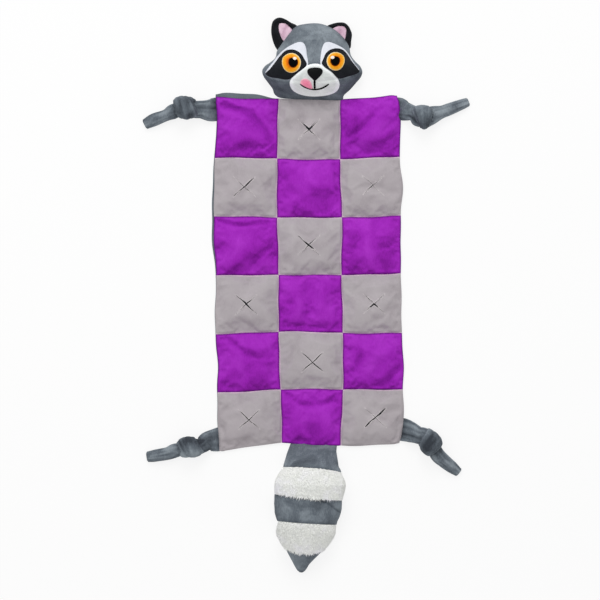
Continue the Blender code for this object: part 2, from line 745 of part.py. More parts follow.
def limb_plan(name):
    """Places along a limb: its seam, its knot and its hand's joint, with the aims of both parts."""
    side, row, down, reach, aim, hand, hand_aim = LIMB_SHARES[name]
    aims = []
    for degrees in (aim, hand_aim):
        turn = math.radians(degrees)
        aims.append(Vector((math.cos(turn) * side, math.sin(turn), 0)))
    root = Vector((side * (MAT_WIDTH / 2 + BACKING_MARGIN + SEAT_OFFSET),
                   row_seam_y(row) - down * row_height(row), HINGE_HEIGHT))
    knot = root + aims[0] * (LIMB_REACH * reach)
    joint = knot + aims[1] * (KNOT_LENGTH / 2 - KNOT_END_SINK + CLEARANCE + HAND_RADIUS)
    joint.z = REST_LIFT + HAND_RADIUS * (1 - FLAT_SHARE)
    return {"side": side, "row": row, "root": root, "knot": knot, "joint": joint,
            "aim": aims[0], "hand_aim": aims[1], "hand": HAND_LENGTH * hand}


def sideways(aim):
    return Vector((-aim.y, aim.x, 0))


def limb_profile(length):
    """Width and height by the share of a limb's length: a flat root, a neck and a round knot."""
    neck = 1 - KNOT_LENGTH / length
    rows = [(0, LIMB_ROOT_WIDTH, LIMB_ROOT_HEIGHT)]
    for share, width, height in LIMB_NECK_SHARES:
        rows.append((neck * share, LIMB_NECK_WIDTH * width, LIMB_NECK_HEIGHT * height))
    for step in range(1, KNOT_STEPS + 1):
        share = step / KNOT_STEPS
        full = rounding(abs(2 * share - 1), KNOT_FULLNESS)
        rows.append((neck + (1 - neck) * share, KNOT_WIDTH * full, KNOT_HEIGHT * full))
    return rows


def limb_form(name, carrier):
    plan = limb_plan(name)
    aim = plan["aim"]
    across = sideways(aim)
    start = plan["root"] + aim * FORM_SETBACK
    length = (plan["knot"] - start).length + KNOT_LENGTH / 2
    profile = limb_profile(length)

    def place(x, y, z):
        share = 0.5 + math.asin(max(min(z, 1), -1)) / math.pi
        width, height = interpolate(profile, share)
        spot = start + aim * (length * share)
        if math.hypot(x, y) < POLE_SHARE:
            spot.z = REST_LIFT + height / 2
        else:
            turn = math.atan2(y, x)
            spot += across * (width / 2 * math.cos(turn))
            spot.z = resting_height(turn, height)
        return spot

    limb = add_object(name, soft_form(*LIMB_CELLS, place), carrier, DARK_GREY)
    side, root = plan["side"], plan["root"]
    half = TAB_WIDTH_LIMB / 2
    ends = sorted((root.x - side * BACKING_THICKNESS / 2, root.x + side * TAB_LENGTH))
    tab = tab_form((ends[0], root.y - half, 0), (ends[1], root.y + half, BACKING_THICKNESS), 0,
                   -side)
    tab = add_object(f"{name}_tab", tab, carrier, DARK_GREY, smooth=False, collection=tools)
    combine(limb, as_tool(tab), "UNION")
    combine(limb, knot_wrap(name, plan, carrier), "UNION")


def wrap_places(plan):
    """The turn of a limb that lies slantwise over its knot, away from the hand on its side."""
    aim, across = plan["aim"], sideways(plan["aim"])
    slant = -1 if (plan["hand_aim"] - aim).dot(across) > 0 else 1
    for step in range(WRAP_STEPS + 1):
        turn = math.radians(WRAP_START_DEG + WRAP_TURN_DEG * step / WRAP_STEPS)
        beside = math.cos(turn) * (KNOT_WIDTH / 2 - WRAP_RADIUS * WRAP_SIDE_SINK_SHARE)
        ahead = slant * math.cos(turn) * KNOT_LENGTH * WRAP_SLANT_SHARE
        above = math.sin(turn) * (KNOT_HEIGHT / 2 - WRAP_RADIUS * WRAP_TOP_SINK_SHARE)
        spot = plan["knot"] + across * beside + aim * ahead
        spot.z = REST_LIFT + KNOT_HEIGHT / 2 + above
        yield spot


def knot_wrap(name, plan, carrier):
    curve = bpy.data.curves.new(f"{name}_wrap", "CURVE")
    curve.dimensions = "3D"
    curve.bevel_depth = WRAP_RADIUS
    curve.bevel_resolution = 2
    curve.use_fill_caps = True
    spline = curve.splines.new("POLY")
    spline.points.add(WRAP_STEPS)
    for point, spot in zip(spline.points, wrap_places(plan)):
        point.co = (*(spot - Vector(carrier["place"])), 1)
    rope = bpy.data.objects.new(f"{name}_wrap_curve", curve)
    tools.objects.link(rope)
    bpy.context.view_layer.update()
    mesh = bpy.data.meshes.new_from_object(
        rope.evaluated_get(bpy.context.evaluated_depsgraph_get()))
    bpy.data.objects.remove(rope)
    bm = bmesh.new()
    bm.from_mesh(mesh)
    bmesh.ops.remove_doubles(bm, verts=bm.verts, dist=MERGE_DISTANCE)
    face_outwards(bm)
    bm.to_mesh(mesh)
    bm.free()
    mesh.materials.clear()
    mesh.materials.append(cloth(f"{name}_wrap", DARK_GREY, 0.9))
    wrap = bpy.data.objects.new(f"{name}_wrap", mesh)
    tools.objects.link(wrap)
    wrap.parent = carrier
    return as_tool(wrap)


def hand_form(name, carrier):
    """The free end of the limb past its knot: a round end on the joint, then a tapering tip."""
    plan = limb_plan(name)
    joint, aim, length = plan["joint"], plan["hand_aim"], plan["hand"]
    across = sideways(aim)

    def place(x, y, z):
        flat = math.hypot(x, y)
        if z <= 0:
            spot = joint + aim * (HAND_RADIUS * z)
            radius = HAND_RADIUS * flat
        else:
            share = math.asin(min(z, 1)) / (math.pi / 2)
            spot = joint + aim * (length * share)
            radius = HAND_RADIUS * (1 - HAND_TAPER_SHARE * share) * rounding(share, 6)
        if flat > POLE_SHARE:
            turn = math.atan2(y, x)
            spot += across * (radius * math.cos(turn))
            spot.z += radius * math.sin(turn)
        spot.z = max(spot.z, REST_LIFT)
        return spot

    add_object(HAND_NAMES[name], soft_form(*HAND_CELLS, place), carrier, DARK_GREY)


# The tail


def tail_place(turn, share, shrink):
    """A point on the tail's skin at a share of its length, shrunk inwards by a length."""
    width, height, drift = interpolate(TAIL_SHARES, share)
    half = max(width * TAIL_WIDTH / 2 - shrink, CLEARANCE)
    half_height = max(height * TAIL_HEIGHT / 2 - shrink, CLEARANCE)
    x = TAIL_SHIFT - drift * TAIL_DRIFT + half * math.cos(turn)
    y = TAIL_AXIS_Y - FORM_SETBACK - share * TAIL_LENGTH
    middle = REST_LIFT + height * TAIL_HEIGHT / 2 * (1 - FLAT_SHARE)
    z = max(middle + half_height * math.sin(turn), REST_LIFT + shrink)
    return Vector((x, y, z))


def tail_middle(share, shrink):
    top = tail_place(math.pi / 2, share, shrink)
    return top.lerp(tail_place(-math.pi / 2, share, shrink), 0.5)


def tail_cup(start, end):
    """A closed end of the tail: the pole is at start, and the open rim at end."""

    def place(x, y, z, inner):
        share = 1 - math.asin(max(min(z, 1), 0)) / (math.pi / 2)
        wall = TAIL_WALL if inner else 0
        step = abs(end - start)
        closed = wall / TAIL_LENGTH / step * (1 - share)
        along = start + (end - start) * (closed + (1 - closed) * share**TAIL_CUP_SPACING)
        middle = tail_middle(along, wall)
        if math.hypot(x, y) < POLE_SHARE:
            return middle
        return middle.lerp(tail_place(math.atan2(y, x), along, wall), rounding(1 - share, 4))

    return cup_form(*TAIL_CUP_CELLS, place)


def make_tail(carrier):
    """Five sewn bands around one filling: two of white fur between three of grey plush."""
    gap = CLEARANCE / TAIL_LENGTH / 2
    first, second, third, fourth = TAIL_BAND_SHARES
    root = add_object("tail_root_band", tail_cup(0, first - gap), carrier, DARK_GREY)
    half = TAB_WIDTH_TAIL / 2
    low = (TAIL_SHIFT - half, TAIL_AXIS_Y - TAB_LENGTH, 0)
    high = (TAIL_SHIFT + half, TAIL_AXIS_Y + BACKING_THICKNESS / 2, BACKING_THICKNESS)
    tab = add_object("tail_tab", tab_form(low, high, 1, 1), carrier, DARK_GREY, smooth=False,
                     collection=tools)
    combine(root, as_tool(tab), "UNION")
    bands = (
        ("tail_upper_fur_band", first, second, FUR_WHITE),
        ("tail_middle_band", second, third, DARK_GREY),
        ("tail_lower_fur_band", third, fourth, FUR_WHITE),
    )
    for name, start, end, colour in bands:

        def place(turn, share, inner):
            along = start + gap + (end - start - 2 * gap) * share
            return tail_place(turn, along, TAIL_WALL if inner else 0)

        add_object(name, sleeve_form(*TAIL_BAND_CELLS, place), carrier, colour)
    add_object("tail_tip", tail_cup(1, fourth + gap), carrier, DARK_GREY)

    def fill(x, y, z):
        share = 0.5 - math.asin(max(min(z, 1), -1)) / math.pi
        along = TAIL_FILLING_END_SHARE + (1 - 2 * TAIL_FILLING_END_SHARE) * share
        shrink = TAIL_WALL + CLEARANCE * 1.5
        middle = tail_middle(along, shrink)
        if math.hypot(x, y) < POLE_SHARE:
            return middle
        round_end = rounding(abs(2 * share - 1), 8)
        return middle.lerp(tail_place(math.atan2(y, x), along, shrink), round_end)

    add_object("tail_stuffing", soft_form(*TAIL_FILLING_CELLS, fill), carrier, FILLING)


def build():
    root = pivot("mat_middle", None, (0, 0, 0))
    rows = {2: root}
    for row in (1, 0):
        rows[row] = pivot(f"row_{row + 1}_seam", rows[row + 1], cross_axis(row + 1))
    for row in (3, 4, 5):
        rows[row] = pivot(f"row_{row + 1}_seam", rows[row - 1], cross_axis(row))
    for row in range(ROWS):
        backing_strip(row, rows[row])
        front_patches(row, rows[row])
    neck = pivot("neck_seam", rows[0], (HEAD_SHIFT, NECK_AXIS_Y, HINGE_HEIGHT))
    make_head(neck)
    make_head_filling(neck)
    make_face(neck)
    for side, word in ((-1, "left"), (1, "right")):
        place = ear_frame(side)[0]
        make_ear(side, word, pivot(f"ear_{word}_base", neck, tuple(place)))
    for name in LIMB_SHARES:
        plan = limb_plan(name)
        limb = pivot(f"{name}_seam", rows[plan["row"]], tuple(plan["root"]))
        limb_form(name, limb)
        hand_form(name, pivot(f"{name}_knot_end", limb, tuple(plan["joint"])))
    make_tail(pivot("tail_seam", rows[ROWS - 1], (TAIL_SHIFT, TAIL_AXIS_Y, HINGE_HEIGHT)))


clear_scene()
parts = new_collection("raccoon_treat_mat")
tools = new_collection("cutters")
head_radius = head_radius_table()
build()
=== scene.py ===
"""Treat mat in the shape of a raccoon, lying face up on a pale floor and seen from straight above.

Front patches, pockets with cut flaps, backing, stuffed head, knotted limbs and banded tail are
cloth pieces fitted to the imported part. Metres, +Z up, the head towards +Y.
"""
import json
import math
import random

import bmesh
import bpy
import numpy as np
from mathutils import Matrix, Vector, noise
from mathutils.bvhtree import BVHTree


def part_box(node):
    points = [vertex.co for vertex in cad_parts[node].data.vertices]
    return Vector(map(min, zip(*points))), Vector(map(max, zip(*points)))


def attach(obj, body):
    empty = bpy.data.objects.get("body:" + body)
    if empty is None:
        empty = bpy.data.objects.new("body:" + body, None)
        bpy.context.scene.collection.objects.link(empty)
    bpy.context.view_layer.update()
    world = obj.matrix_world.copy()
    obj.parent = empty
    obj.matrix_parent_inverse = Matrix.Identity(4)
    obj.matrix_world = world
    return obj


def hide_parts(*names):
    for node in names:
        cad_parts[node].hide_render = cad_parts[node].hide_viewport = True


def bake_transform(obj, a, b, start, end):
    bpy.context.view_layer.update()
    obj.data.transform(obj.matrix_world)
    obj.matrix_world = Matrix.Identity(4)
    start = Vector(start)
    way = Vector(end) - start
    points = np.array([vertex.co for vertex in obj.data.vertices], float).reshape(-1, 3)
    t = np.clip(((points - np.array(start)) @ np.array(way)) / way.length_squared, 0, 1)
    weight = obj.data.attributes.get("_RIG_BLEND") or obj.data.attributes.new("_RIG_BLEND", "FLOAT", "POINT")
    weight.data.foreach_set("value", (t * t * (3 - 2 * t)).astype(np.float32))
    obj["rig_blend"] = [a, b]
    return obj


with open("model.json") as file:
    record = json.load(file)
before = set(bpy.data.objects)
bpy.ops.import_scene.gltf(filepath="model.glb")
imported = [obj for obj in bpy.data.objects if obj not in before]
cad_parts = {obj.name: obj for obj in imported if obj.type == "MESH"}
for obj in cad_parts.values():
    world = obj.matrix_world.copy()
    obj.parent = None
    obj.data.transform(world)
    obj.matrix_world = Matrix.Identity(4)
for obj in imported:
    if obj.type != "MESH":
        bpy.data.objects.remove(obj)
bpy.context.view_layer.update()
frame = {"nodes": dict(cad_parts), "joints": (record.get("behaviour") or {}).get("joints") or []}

scene = bpy.context.scene

# The camera looks straight down. A pixel of the picture covers this much of the floor
IMAGE_SIZE = 600
PIXEL = 0.00109025
CAMERA_PLACE = Vector((-0.0093, -0.0057, 3.0))
CAMERA_LENS = 165.1

hinges = {joint["name"]: Vector(joint["pos_m"]) for joint in frame["joints"]}
NECK_Y = hinges["neck_bend"].y
TAIL_Y = hinges["tail_bend"].y
CHIN_END_Y = NECK_Y + 0.022

# Heights and thicknesses of the cloth
REST = 0.0002
BACKING = 0.0016
PATCH_CLOTH = 0.0012
SEAM_HEIGHT = 0.0029
CROWN = 0.0052

COLUMNS = ("left", "middle", "right")
# Where the seams cross, in pixels: seven cross seams from the neck down, four lengthwise ones
SEAM_CROSSINGS = (
    ((215.3, 95.8), (278.4, 98.6), (340.6, 99), (398.8, 94.2)),
    ((214.8, 157.6), (277.2, 158.7), (340.1, 159.4), (399.9, 156.4)),
    ((213.9, 216.5), (277.2, 217.1), (342, 217.8), (400.8, 215.4)),
    ((216.2, 275.8), (278.6, 274.8), (341.5, 275.1), (400.8, 273.3)),
    ((215.7, 334.4), (278.6, 331.6), (342.9, 333), (402, 333)),
    ((217.6, 392.8), (280.5, 389.6), (342.9, 389.1), (403.1, 390)),
    ((218.9, 451.2), (282.3, 443.2), (340.5, 445.3), (400, 443.9)),
)
# How far the outer edge swells between two cross seams, in pixels, from the neck down
LEFT_SWELL = (-1.9, 0.2, 0.8, 0.4, -1.2, 0.4)
RIGHT_SWELL = (1.4, 2.3, 0.3, 0.2, 0.6, 2.2)

# Soft creases of each patch: points across and down it in shares, depth in mm, width in shares
CREASES = {
    (0, 0): ((((0.12, 0.12), (0.5, 0.28), (0.72, 0.50), (0.93, 0.82)), 2.6, 0.07),
             (((0.15, 0.45), (0.4, 0.62)), -0.8, 0.10), (((0.28, 0.86), (0.55, 0.84)), 1.2, 0.07)),
    (0, 2): ((((0.66, 0.2), (0.4, 0.43), (0.1, 0.68)), 1.5, 0.07),
             (((0.95, 0.66), (0.6, 0.83), (0.4, 0.92)), 1.6, 0.08),
             (((0.75, 0.42), (0.35, 0.72)), -0.9, 0.08)),
    (1, 1): ((((0.2, 0.45), (0.55, 0.3)), -1, 0.16), (((0.75, 0.92), (0.95, 0.6)), 1, 0.10)),
    (2, 0): ((((0.06, 0.05), (0.42, 0.15), (0.85, 0.10)), 2.6, 0.045),
             (((0.97, 0.45), (0.83, 0.57), (0.62, 0.74)), 1.4, 0.07),
             (((0.2, 0.4), (0.6, 0.42)), -0.7, 0.14)),
    (2, 2): ((((0.46, 0.1), (0.5, 0.9)), -1.1, 0.10), (((0.15, 0.2), (0.2, 0.8)), 0.8, 0.10)),
    (3, 1): ((((0.3, 0.1), (0.33, 0.8)), -1, 0.08), (((0.7, 0.12), (0.66, 0.75)), -1, 0.08),
             (((0.1, 0.9), (0.5, 0.93), (0.9, 0.9)), 1.1, 0.06)),
    (4, 0): ((((0.14, 0.03), (0.45, 0.33), (0.68, 0.42)), 1.8, 0.06),
             (((0.42, 0.6), (0.55, 0.62)), 0.9, 0.08), (((0.3, 0.15), (0.75, 0.25)), -0.8, 0.10)),
    (4, 2): ((((0.1, 0.7), (0.2, 0.6), (0.32, 0.35)), 1.3, 0.07),
             (((0.55, 0.95), (0.72, 0.84), (0.9, 0.6)), 1.4, 0.07),
             (((0.35, 0.75), (0.6, 0.4)), -1, 0.08)),
    (5, 1): ((((0.06, 0.06), (0.33, 0.27), (0.68, 0.25), (0.95, 0.1)), 1.8, 0.06),
             (((0.25, 0.55), (0.75, 0.5)), -0.9, 0.12)),
    (1, 0): ((((0.2, 0.1), (0.3, 0.4)), 0.5, 0.08), (((0.05, 0.45), (0.25, 0.5)), 0.7, 0.07)),
    (2, 1): ((((0.5, 0.28), (0.75, 0.2)), 0.6, 0.08), (((0.05, 0.75), (0.2, 0.8)), 0.5, 0.08)),
    (0, 1): ((((0.05, 0.55), (0.3, 0.4)), 0.7, 0.08), (((0.7, 0.5), (0.98, 0.55)), 0.7, 0.09)),
    (3, 0): ((((0.5, 0.1), (0.55, 0.35)), 0.5, 0.08),),
    (3, 2): ((((0.2, 0.2), (0.4, 0.4)), 0.5, 0.1), (((0.6, 0.8), (0.8, 0.6)), 0.5, 0.1)),
    (4, 1): ((((0.15, 0.3), (0.3, 0.6)), 0.5, 0.1),),
    (5, 0): ((((0.1, 0.3), (0.35, 0.2)), 0.6, 0.09), (((0.7, 0.85), (0.9, 0.6)), 0.5, 0.09)),
    (5, 2): ((((0.1, 0.25), (0.4, 0.15)), 0.5, 0.09), (((0.6, 0.7), (0.9, 0.75)), 0.5, 0.1)),
}

# The X slits: middle in pixels, opening of the rising and of the falling stroke in mm,
# then lift and pull of the flaps on the far, right, near and left side in mm
SLITS = {
    (0, 1): ((308.9, 129.6), 0.8, 1.1, (5.2, 0.9, 0.3, 0.9), (1.9, 0.3, -0.2, 0.3)),
    (1, 0): ((244.4, 186.7), 1.6, 0.5, (2.2, 1.5, 0.3, 2.4), (0.2, 0.4, -0.1, 0.6)),
    (1, 2): ((373, 185.3), 0.5, 0.5, (1.2, 0.3, 0.5, 2.6), (0.2, -0.2, 0.1, 0.5)),
    (2, 1): ((308.7, 245.2), 0.7, 1.8, (2.2, 1.9, 0.4, 2.2), (0.4, 0.1, -0.1, 0.5)),
    (3, 0): ((246.3, 304.4), 0.8, 1.6, (2, 1.4, 0.2, 1.3), (0.6, 0.2, -0.2, 0.1)),
    (3, 2): ((374, 303.4), 0.7, 0.8, (3, 0.8, -0.6, 0.8), (-0.6, 0.2, 1.7, 0.2)),
    (4, 1): ((312.4, 362), 1.1, 1.2, (1.2, 2.2, -0.4, 1.2), (0.2, 0.9, 0.2, 0.2)),
    (5, 0): ((249, 419.4), 0.9, 0.9, (1.8, 1.6, 0.4, 1.2), (0.5, 0.4, 0.1, 0.4)),
    (5, 2): ((375.4, 417.5), 2.5, 0.6, (2, 0.9, 0.9, 2.2), (0.2, 0.1, 0.2, 0.3)),
}
SLIT_REACH = (11.3, 10.2)

# Outlines in pixels
HEAD_MIDDLE = (311.5, 64)
HEAD_OUTLINE = (
    (277, 51), (275.6, 57.4), (270.6, 62.2), (265.3, 65.8), (262.2, 70.6), (263.6, 76.6),
    (268.4, 83.2), (272.6, 89), (274.4, 94), (280, 97.8), (294, 99.2), (311, 99.6), (328, 100.2),
    (341.8, 100), (343.8, 95.4), (350, 89.8), (356, 83), (360.8, 77.2), (362.4, 71.8),
    (360.2, 66.4), (354.8, 60.9), (350.8, 55), (349.2, 47), (345.4, 40.2), (339.4, 33.5),
    (332.6, 28.4), (324, 24.6), (315.4, 23.2), (304.4, 24.1), (295.4, 26.7), (288.6, 34.5),
    (282, 43.4),
)
MASK_LEFT = (
    (266.1, 73.4), (270.3, 76.4), (278, 77.7), (288.7, 78.9), (298, 72.6), (306.6, 65.6),
    (304.6, 59.2), (301, 53.6), (295.6, 50.2), (289.4, 49.8), (284.6, 51.9), (280, 56.9),
    (275.5, 62.9), (270.3, 69),
)
MASK_RIGHT = (
    (359, 71.7), (354.5, 74.2), (348.3, 75.8), (338.2, 78), (330.4, 70.4), (322, 64.6),
    (323.1, 59), (325.6, 53.4), (330, 49.8), (336.1, 48.4), (342, 49.8), (346.2, 53.8),
    (351.6, 62), (357.2, 68.7),
)
BROW_LEFT = (
    (265.9, 71.6), (272.4, 63.5), (280, 53.6), (287.9, 47.3), (295.6, 43.2), (300.9, 42.1),
    (304.2, 43.9), (306.1, 48.4), (306.9, 55.1), (308.2, 63.6), (306, 66.4), (296, 64), (284, 66),
    (272, 74.6), (267, 73.6),
)
BROW_RIGHT = (
    (358.9, 69.8), (353.8, 63.4), (349.2, 55.8), (344.5, 49.6), (338.4, 45.8), (332.3, 43.1),
    (327.7, 42.1), (324, 43.8), (322.1, 48.3), (320.7, 55.1), (320.4, 63.6), (322.5, 66.2),
    (333, 64), (344, 66), (354, 73), (358.2, 72),
)
MUZZLE = (
    (315, 63.6), (321, 64.8), (326.5, 68.6), (332.3, 72.6), (337, 77.3), (339.5, 83.5),
    (338.4, 88.8), (334.6, 92.6), (328.5, 94.9), (320.8, 96), (311.6, 96.3), (302.4, 95),
    (295.4, 92.2), (291.1, 88), (289.7, 82.7), (291.7, 78), (296.3, 73.4), (302.3, 68.5),
    (308.2, 65),
)
NOSE = (
    (307.4, 70.6), (309.4, 68.4), (314.7, 67.5), (320.2, 68.2), (322.5, 70.5), (321.8, 73.7),
    (318.6, 77.4), (315, 80.2), (311.2, 77.5), (308, 73.8),
)
TONGUE = (
    (300.8, 83.9), (303.8, 86.6), (307.8, 88.4), (312.2, 89.2), (312.2, 86.2), (310.6, 81.8),
    (307.1, 79), (303, 79), (300.7, 81.3),
)
LIP_LINE = ((314.6, 79), (314.6, 83.5), (314.8, 88.8))
SMILE = ((299.9, 83.6), (304, 86.3), (309.3, 88.4), (315, 89.2), (320.8, 88.3), (325.4, 86.1),
         (329.1, 83.5))
EYES = {
    # middle and radius of the iris, middle of the pupil, middle of the glint
    "left": ((291.9, 62.9), 9.4, (293.9, 62.8), (295.6, 59.2)),
    "right": ((335.1, 61.3), 8.9, (334.3, 61.6), (331.6, 58.3)),
}
EARS = {
    "left": (
        ((277.6, 50.2), (273.8, 43.7), (271.5, 35.2), (271.2, 28.4), (272.4, 22.2), (275.6, 18.7),
         (280.2, 17.5), (285.8, 19.4), (291, 22.6), (296.8, 25.6), (298, 31), (292, 38),
         (287, 44), (282, 50)),
        ((280.4, 23.2), (278.7, 25.4), (278.7, 29.9), (280.2, 35.2), (283, 40.6), (287, 41),
         (291, 36), (293, 31.4), (290, 27.2), (285.6, 23.6)),
    ),
    "right": (
        ((326.6, 26.6), (332.8, 23.6), (339.2, 22.4), (344.7, 22.9), (348.5, 26), (350.6, 29.9),
         (352, 34.5), (351.3, 40.8), (350.4, 48), (346, 49), (341, 42), (335, 36),
         (329, 32)),
        ((332.2, 29), (335.3, 27), (339.2, 25.8), (343.9, 26.4), (346.2, 29.1), (346.3, 33.7),
         (345.2, 39.2), (342, 40), (337, 35.6), (332.6, 32.4)),
    ),
}

# The tail: its sides and the seams between its bands, in pixels
TAIL_LEFT = (
    (440.8, 291.6), (444.3, 290.5), (453.5, 286.8), (460.9, 284.5), (467.5, 282.6), (482, 277.6),
    (494.2, 275), (503.5, 274), (512.7, 274.8), (520.5, 277), (533, 279.2), (542.3, 282.4),
    (549.7, 286), (558, 290.5), (565.4, 294.4), (568.6, 296.2), (570.8, 297.8), (572.2, 299.9),
)
TAIL_RIGHT = (
    (440.8, 337.2), (444.3, 337), (451.7, 336.5), (462.8, 338.6), (472, 339.7), (484, 342.6),
    (492.4, 342.9), (500.7, 342.4), (509, 341.9), (516.4, 339.6), (525.5, 335.6), (532, 332.6),
    (538, 330), (544.5, 326.8), (551.1, 322.6), (558, 315.6), (564.5, 309.2), (568.6, 306.6),
    (570.8, 304.8), (572.2, 302.6),
)
# Each seam at the left side, the middle and the right side
TAIL_SEAMS = ((441.2, 441.2, 441.2), (466.9, 467.6, 472), (494.2, 498.2, 500.6),
              (521, 523.6, 524.8), (549.7, 553.2, 551.4), (572.4, 572.4, 572.4))
TAIL_BANDS = ("tail_root_band", "tail_upper_fur_band", "tail_middle_band",
              "tail_lower_fur_band", "tail_tip")
# A crease across the middle band
TAIL_CREASE = ((310, 498), (320, 500), (330, 504.8), (337, 510.5), (342, 513))
# Height of the tail by the picture's rows
TAIL_HEIGHTS = ((441, 0.0028), (444.6, 0.0040), (452, 0.0105), (462, 0.0205), (472, 0.0300),
                (484, 0.0368), (500, 0.0392), (520, 0.0384), (540, 0.0340),
                (552, 0.0280), (562, 0.0200), (569, 0.0120), (572.4, 0.0055))

# Limbs in pixels: the seam's two ends, places down the middle with half widths up to the knot, the
# knot's middle, the places of the free end with half widths, and the side that the knot's turn
# leans to
LIMBS = {
    "left_arm": (((216.8, 97.5), (217.6, 122.2)),
                 (((210, 110.6), 11), ((201, 109.8), 8.8)), (184.9, 107.4),
                 (((172.5, 111.9), 7.6), ((165.5, 115.5), 6), ((153.5, 119.9), 6.3),
                  ((145.6, 124), 5.3)), 1),
    "right_arm": (((398.6, 97.5), (400.2, 120.6)),
                  (((405, 110.9), 9.7), ((411.5, 112.6), 8.3)), (423.2, 117),
                  (((433.6, 114.4), 8.6), ((442, 111.8), 6.3), ((449.2, 109.3), 6.1),
                   ((460, 105.1), 5.4), ((467.4, 102.2), 4.3)), -1),
    "left_leg": (((216.4, 427.4), (220, 451.4)),
                 (((207.5, 441.4), 9.6), ((203, 444.9), 8)), (190.6, 447.2),
                 (((174.6, 450.8), 7.2), ((167.5, 453.4), 6.6), ((155.5, 455.7), 6.1),
                  ((148, 456.7), 5.2)), -1),
    "right_leg": (((405.9, 419), (400.4, 441.2)),
                  (((411, 432.6), 10.4), ((418.6, 435.6), 8.6)), (430, 443.4),
                  (((437.5, 454.6), 7.4), ((443.7, 460.5), 6.8), ((451.6, 466.9), 6.1),
                   ((458.2, 472), 4.6)), 1),
}
# The knot of each limb: its size, how far its turn slants along the limb, how broad it is, how much
# broader it is on the side that it leans to, places where the tube goes in with half widths, and
# how far along and aside it comes out with its half width, the last three in mm
KNOTS = {"left_arm": (1, -0.42, 1.45, 0, (((193.2, 109.2), 9.4),), (4, 0, 6.6)),
         "right_arm": (1, 0.2, 1.25, -0.34, (((414.6, 113.9), 8.9), ((419.2, 116), 11.6)),
                       (1, 1.2, 10.8)),
         "left_leg": (0.86, 0.6, 1.38, 0, (((199.4, 446.8), 8.2),), (4, 0, 6.2)),
         "right_leg": (1, -0.35, 1.42, 0.15, (((424.6, 437.2), 9.2),), (4, 0, 7.4))}
# Painted light and shade of each limb: how much lighter or darker its root, knot and free end are
# painted, how much darker the knot is painted towards its near side (+) or far side (-), and creases along
# the root: turn in degrees
LIMB_SHADES = {"left_arm": (-0.05, -0.38, 0.05, 0.10, (100,)),
               "right_arm": (0.34, -0.16, 0.34, 0.30, ()),
               "left_leg": (0.04, -0.10, 0.04, -1.35, ()),
               "right_leg": (0.22, -0.28, 0.16, 0.20, (70, 112))}
FREE_ENDS = {"left_arm": "left_hand", "right_arm": "right_hand",
             "left_leg": "left_foot", "right_leg": "right_foot"}


def spot(px, py, z=0.0):
    """The place at a height that the camera sees at a pixel."""
    near = (1 - z / CAMERA_PLACE.z) * PIXEL
    return Vector((CAMERA_PLACE.x + (px - IMAGE_SIZE / 2) * near,
                   CAMERA_PLACE.y + (IMAGE_SIZE / 2 - py) * near, z))


def curve_point(a, b, c, d, t):
    """A point between b (t = 0) and c (t = 1) on a smooth curve through four."""
    return 0.5 * (2 * b + (c - a) * t + (2 * a - 5 * b + 4 * c - d) * t**2
                  + (3 * b - a - 3 * c + d) * t**3)


def smooth_path(points, count, closed=False):
    """Evenly spaced points on a smooth curve through the given ones."""
    points = [Vector(point) for point in points]
    if closed:
        padded = [points[-1], *points, *points[:2]]
    else:
        padded = [2 * points[0] - points[1], *points, 2 * points[-1] - points[-2]]
    dense = [curve_point(*four, step / 12)
             for four in zip(padded, padded[1:], padded[2:], padded[3:]) for step in range(12)]
    dense.append(dense[0] if closed else points[-1])
    reach = [0.0]
    for first, second in zip(dense, dense[1:]):
        reach.append(reach[-1] + (second - first).length)
    path = []
    index = 0
    for step in range(count):
        goal = reach[-1] * step / (count if closed else count - 1)
        while index < len(reach) - 2 and reach[index + 1] < goal:
            index += 1
        span = max(reach[index + 1] - reach[index], 1e-9)
        path.append(dense[index].lerp(dense[index + 1], min((goal - reach[index]) / span, 1)))
    return path


def smooth_rows(rows, count):
    """Evenly spaced rows of values on a smooth curve through the given ones, whose first three
    values are a place."""
    rows = np.array(rows, dtype=float)
    padded = [2 * rows[0] - rows[1], *rows, 2 * rows[-1] - rows[-2]]
    dense = [curve_point(*four, t)
             for four in zip(padded, padded[1:], padded[2:], padded[3:])
             for t in np.arange(0, 1, 0.05)]
    dense = np.array([*dense, rows[-1]])
    lengths = np.linalg.norm(np.diff(dense[:, :3], axis=0), axis=1)
    reach = np.concatenate([[0], np.cumsum(lengths)])
    goals = np.linspace(0, reach[-1], count)
    return np.stack([np.interp(goals, reach, values) for values in dense.T], axis=1)


def smooth_step(share):
    """An even rise from 0 to 1, soft at both ends."""
    share = max(min(share, 1.0), 0.0)
    return share * share * (3 - 2 * share)


def bicubic(field, u, v):
    """Reads a field of values at points (u across, v down), smoothly between its places."""
    rows, columns = field.shape[:2]
    padded = np.concatenate([2 * field[:1] - field[1:2], field, 2 * field[-1:] - field[-2:-1]])
    padded = np.concatenate([2 * padded[:, :1] - padded[:, 1:2], padded,
                             2 * padded[:, -1:] - padded[:, -2:-1]], axis=1)
    iu = np.clip(np.floor(u).astype(int), 0, columns - 2)
    iv = np.clip(np.floor(v).astype(int), 0, rows - 2)

    def weights(t):
        return (-0.5 * t**3 + t**2 - 0.5 * t, 1.5 * t**3 - 2.5 * t**2 + 1,
                -1.5 * t**3 + 2 * t**2 + 0.5 * t, 0.5 * t**3 - 0.5 * t**2)

    wu, wv = weights(u - iu), weights(v - iv)
    total = 0
    for j in range(4):
        for i in range(4):
            total = total + (wu[i] * wv[j])[:, None] * padded[iv + j, iu + i]
    return total


# Meshes


